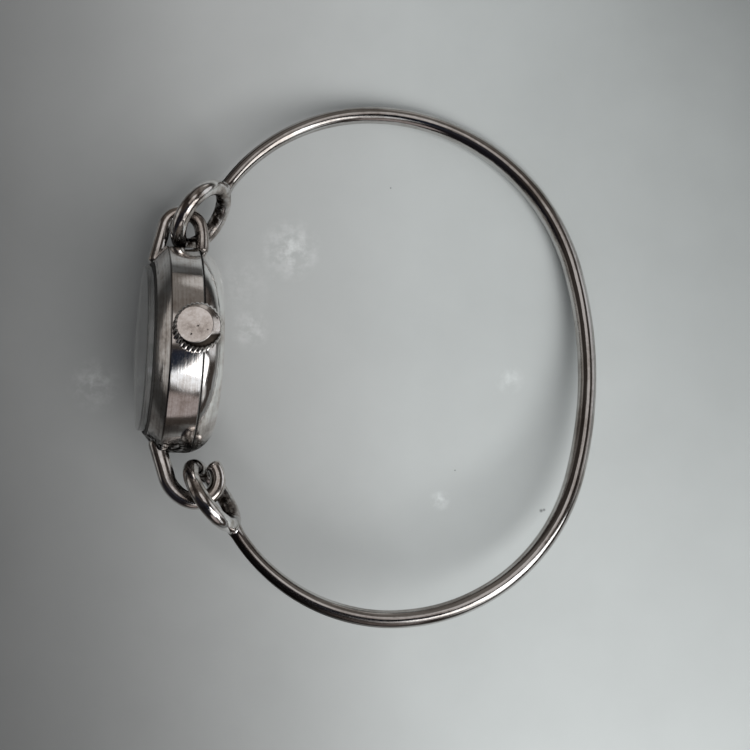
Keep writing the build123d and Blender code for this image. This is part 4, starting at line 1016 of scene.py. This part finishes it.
# Crown: knurled skirt, rounded shoulder, and a domed face worn flat on a slope
face_edge = (crown_face_reach, crown_face_radius)
shoulder, _ = tangent_arc((skirt_end, crown_radius), (1, 0), face_edge, crown_arc_step)
face_dome, _ = tangent_arc((crown_dome_reach, 0), (0, 1), face_edge, crown_arc_step)
skirt = [
    Vector((crown_inner_reach + crown_skirt_length * index / skirt_steps, crown_radius))
    for index in range(skirt_steps)
]
crown_path = skirt + shoulder[:-1] + list(reversed(face_dome)) + [
    Vector((recess_reach, stem_radius)),
    Vector((recess_reach, crown_recess_radius)),
    Vector((crown_inner_reach, crown_recess_radius)),
]
crown_outline = [(point.y, point.x) for point in crown_path]


def knurled(radius, reach, turn):
    """The crown's radius with a coarse rounded knurl that runs out on the shoulder."""
    run_out = skirt_end + knurl_runout - reach
    if radius < crown_face_radius or run_out < 0:
        return radius
    fade = min(1.0, run_out / knurl_runout)
    wave = abs(sin(turn * knurl_count / 2))
    return radius - knurl_depth * fade * (1 - wave)


crown_steps = knurl_count * steps_a_knurl
crown_points, crown_faces, _ = turned(crown_outline, stem_frame, wave=knurled, steps=crown_steps)
stem_axis = stem_frame.to_3x3() @ Vector((0, 0, 1))
to_stem = stem_frame.inverted()
worn_flat = []
for point in crown_points:
    place = to_stem @ point
    over = place.z - (crown_flat_reach - crown_flat_slope * place.y)
    worn_flat.append(point - stem_axis * max(0.0, over))
crown_shape = (worn_flat, crown_faces, None)
crown_piece = piece("crown_knurled", crown_shape, "stem", crown_metal)
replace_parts(crown_piece, "crown")

# Minute track printed on the dial
track_inner = 8.15 * MM
track_outer = 8.6 * MM
track_half_width = 0.035 * MM
five_minute_share = 2.0
print_depth = 0.004 * MM
track_height = flange_height + print_depth
track_points, track_faces = [], []
for minute in range(60):
    turn = tau * minute / 60
    half_width = track_half_width * (five_minute_share if minute % 5 == 0 else 1.0)
    along = Vector((cos(turn), sin(turn), 0))
    aside = Vector((-sin(turn), cos(turn), 0)) * half_width
    first = len(track_points)
    for reach, side in ((track_inner, -1), (track_outer, -1), (track_outer, 1), (track_inner, 1)):
        track_points.append(watch @ (along * reach + aside * side + Vector((0, 0, track_height))))
    track_faces.append((first, first + 1, first + 2, first + 3))
track_print = slot_materials["black_print"]
piece("minute_track", (track_points, track_faces, None), "head", track_print)

# Table top: a pale stone slab, with painted light and shade: darker to the left and lighter towards the
# window
view_place = (1.13 * MM, -1.85 * MM)
view_half = 44.6 * MM
floor_half = 0.4
floor_corners = [(-floor_half, -floor_half, 0), (floor_half, -floor_half, 0), (floor_half, floor_half, 0)]
floor_corners.append((-floor_half, floor_half, 0))
floor_mesh = bpy.data.meshes.new("table_top")
floor_mesh.from_pydata(floor_corners, [], [(0, 1, 2, 3)])
floor = bpy.data.objects.new("table_top", floor_mesh)
bpy.context.scene.collection.objects.link(floor)
stone = Nodes("pale_stone")
middle = basis(Vector((*view_place, 0)), Vector((1, 0, 0)), Vector((0, 1, 0)))
to_right, to_top, _ = stone.local(middle)

# Stops of the painted light across the view: place in half views from its middle, level, and red's share of
# the level
ramp_half = 1.2
shares = [
    (-1.0, 0.170, 0.985), (-0.8, 0.218, 0.98), (-0.6, 0.28, 0.98), (-0.36, 0.365, 0.975),
    (-0.1, 0.445, 0.965), (0.1, 0.500, 0.955), (0.33, 0.505, 0.95), (0.6, 0.478, 0.95), (1.0, 0.405, 0.95),
]
stops = [
    ((place + ramp_half) / (2 * ramp_half), (level * warm, level, level)) for place, level, warm in shares
]
sideways = stone.range(to_right, 0.0, 1.0, -ramp_half * view_half, ramp_half * view_half)
painted_light_ramp = stone.ramp(sideways, stops)
# Painted light: darker towards the upper right and lighter towards the lower right
rightward = stone.calculate("MAXIMUM", to_right, -0.5 * view_half)
painted_light_slant = stone.scaled(stone.both(rightward, to_top), -0.36 / view_half**2)
veins = stone.noise(55.0, 8.0, roughness=0.6)
shade = stone.calculate("ADD", painted_light_slant, stone.range(veins, 0.96, 1.04))

# Cloudy patches and dark specks, in millimetres: place, size and strength
cloudy = stone.range(stone.noise(700.0, 6.0, roughness=0.65), 0.0, 1.0, 0.42, 0.68)
for place_x, place_y, size, strength in (
    (-9.0, 13.0, 4.0, 0.62), (17.2, -2.4, 1.9, 0.35), (8.9, -16.7, 1.4, 0.55), (-13.7, 3.5, 2.6, 0.50),
    (-32.2, -3.0, 3.6, 0.50), (-15.0, 9.0, 4.5, 0.20),
):
    spread = stone.around((place_x * MM, place_y * MM, 0), 0.0, size * MM)
    shade = stone.sum(shade, stone.both(spread, cloudy), strength)
speck_strength = -0.8
for place_x, place_y, size in (
    (20.9, -18.0, 0.28), (21.25, -17.9, 0.22), (10.65, -13.2, 0.13), (3.0, 20.4, 0.13),
):
    speck = stone.around((place_x * MM, place_y * MM, 0), 0.0, size * MM)
    shade = stone.sum(shade, speck, speck_strength)
shade = stone.calculate("MINIMUM", stone.calculate("MAXIMUM", shade, 0.2), 1.5)

# Metal sees the far table darker
far_off = stone.range(stone.distance((*view_place, 0)), 0.0, 0.82, 50.0 * MM, 85.0 * MM)
reflected = stone.add("ShaderNodeLightPath").outputs["Is Glossy Ray"]
shade = stone.both(shade, stone.calculate("SUBTRACT", 1.0, stone.both(far_off, reflected)))
toned = stone.add("ShaderNodeVectorMath", {0: painted_light_ramp, "Scale": shade}, operation="SCALE")
stone.set("Base Color", toned.outputs["Vector"])
stone.set("Roughness", 0.6)
stone.set("Specular IOR Level", 0.25)
stone.bump(veins, 0.02, 0.1 * MM)
floor_mesh.materials.append(stone.material)


# Light: one broad window towards the lower right of the picture, which metal doesn't mirror
window_place = Vector((0.235, -0.245, 0.52))
window_data = bpy.data.lights.new("window", "AREA")
window_data.shape = "RECTANGLE"
window_data.size = 0.42
window_data.size_y = 0.44
window_data.energy = 3.85
window_data.color = (1.0, 0.995, 0.98)
window = bpy.data.objects.new("window", window_data)
window.location = window_place
window.rotation_mode = "QUATERNION"
window.rotation_quaternion = (-window_place).to_track_quat("-Z", "Y")
window.visible_glossy = False
bpy.context.scene.collection.objects.link(window)

# The room that metal and glass show: brown walls, a grey ceiling with dark patches, and bright panes
world = bpy.data.worlds.new("room")
bpy.context.scene.world = world
world.use_nodes = True
room = Tree(world.node_tree)
direction = room.add("ShaderNodeTexCoord").outputs["Generated"]


def facing(axis):
    """How far the direction runs along an axis."""
    inputs = {0: direction, 1: axis}
    return room.add("ShaderNodeVectorMath", inputs, operation="DOT_PRODUCT").outputs["Value"]


def eased_share(value, none_at, full_at):
    inputs = {"Value": value, "From Min": none_at, "From Max": full_at}
    return room.add("ShaderNodeMapRange", inputs, interpolation_type="SMOOTHSTEP").outputs["Result"]


def patch(behind, towards, inner, outer, colour):
    """Lays a soft round patch of colour over what is behind, by its half angles in degrees."""
    share = eased_share(facing(Vector(towards).normalized()), cos(radians(outer)), cos(radians(inner)))
    return room.mix(share, behind, (*colour, 1))


def pane(behind, towards, half_width, half_height, soft, colour):
    """Lays an upright pane over what is behind, by its half angles in degrees."""
    ahead = Vector(towards).normalized()
    aside = ahead.cross(Vector((0, 0, 1))).normalized()
    forward = room.calculate("MAXIMUM", facing(ahead), 0.01)
    insides = []
    for axis, half in ((aside, half_width), (aside.cross(ahead), half_height)):
        off = room.calculate("ABSOLUTE", room.calculate("DIVIDE", facing(axis), forward), 0.0)
        insides.append(eased_share(off, tan(radians(half + soft)), tan(radians(half - soft))))
    return room.mix(room.calculate("MULTIPLY", *insides), behind, (*colour, 1))


shown = (0.045, 0.038, 0.034, 1)
for towards, inner, outer, colour in (
    ((0.20, 0.85, 0.45), 22, 40, (0.165, 0.15, 0.138)),
    ((0.33, 0.94, 0.08), 6, 12, (0.46, 0.44, 0.42)),
    ((-0.95, 0.15, 0.12), 16, 32, (0.40, 0.385, 0.37)),
    ((0.93, 0.22, 0.17), 14, 26, (0.70, 0.70, 0.71)),
    ((0.20, 0.37, 0.90), 14, 18, (0.66, 0.628, 0.615)),
    ((0.02, -0.25, 0.97), 10, 16, (0.03, 0.03, 0.038)),
    ((-0.50, -0.60, 0.60), 28, 42, (0.012, 0.011, 0.014)),
    ((0.10, -0.90, 0.42), 14, 18, (0.34, 0.298, 0.29)),
    ((0.287, -0.24, 0.927), 11, 14, (0.014, 0.018, 0.030)),
    ((0.64, -0.69, 0.343), 8, 13, (0.62, 0.62, 0.62)),
):
    shown = patch(shown, towards, inner, outer, colour)
shown = pane(shown, (0.40, -0.51, 0.76), 13, 12, 3, (0.98, 1.0, 1.03))
shown = pane(shown, (0.67, -0.33, 0.66), 15, 19, 2, (3.2, 3.23, 3.27))

# Every other ray sees a plain room
plain = (0.275, 0.28, 0.285, 1)
is_glossy = room.add("ShaderNodeLightPath").outputs["Is Glossy Ray"]
background = world.node_tree.nodes["Background"]
room.join(room.mix(is_glossy, plain, shown), background.inputs["Color"])
background.inputs["Strength"].default_value = 1.0

# Camera straight above the table
camera_height = 0.150
camera_data = bpy.data.cameras.new("camera")
camera_data.lens = 60.5
camera_data.sensor_width = 36.0
camera_data.clip_start = 0.005
camera = bpy.data.objects.new("camera", camera_data)
camera.location = (*view_place, camera_height)
bpy.context.scene.collection.objects.link(camera)
bpy.context.scene.camera = camera
bpy.context.scene.view_settings.view_transform = "Standard"
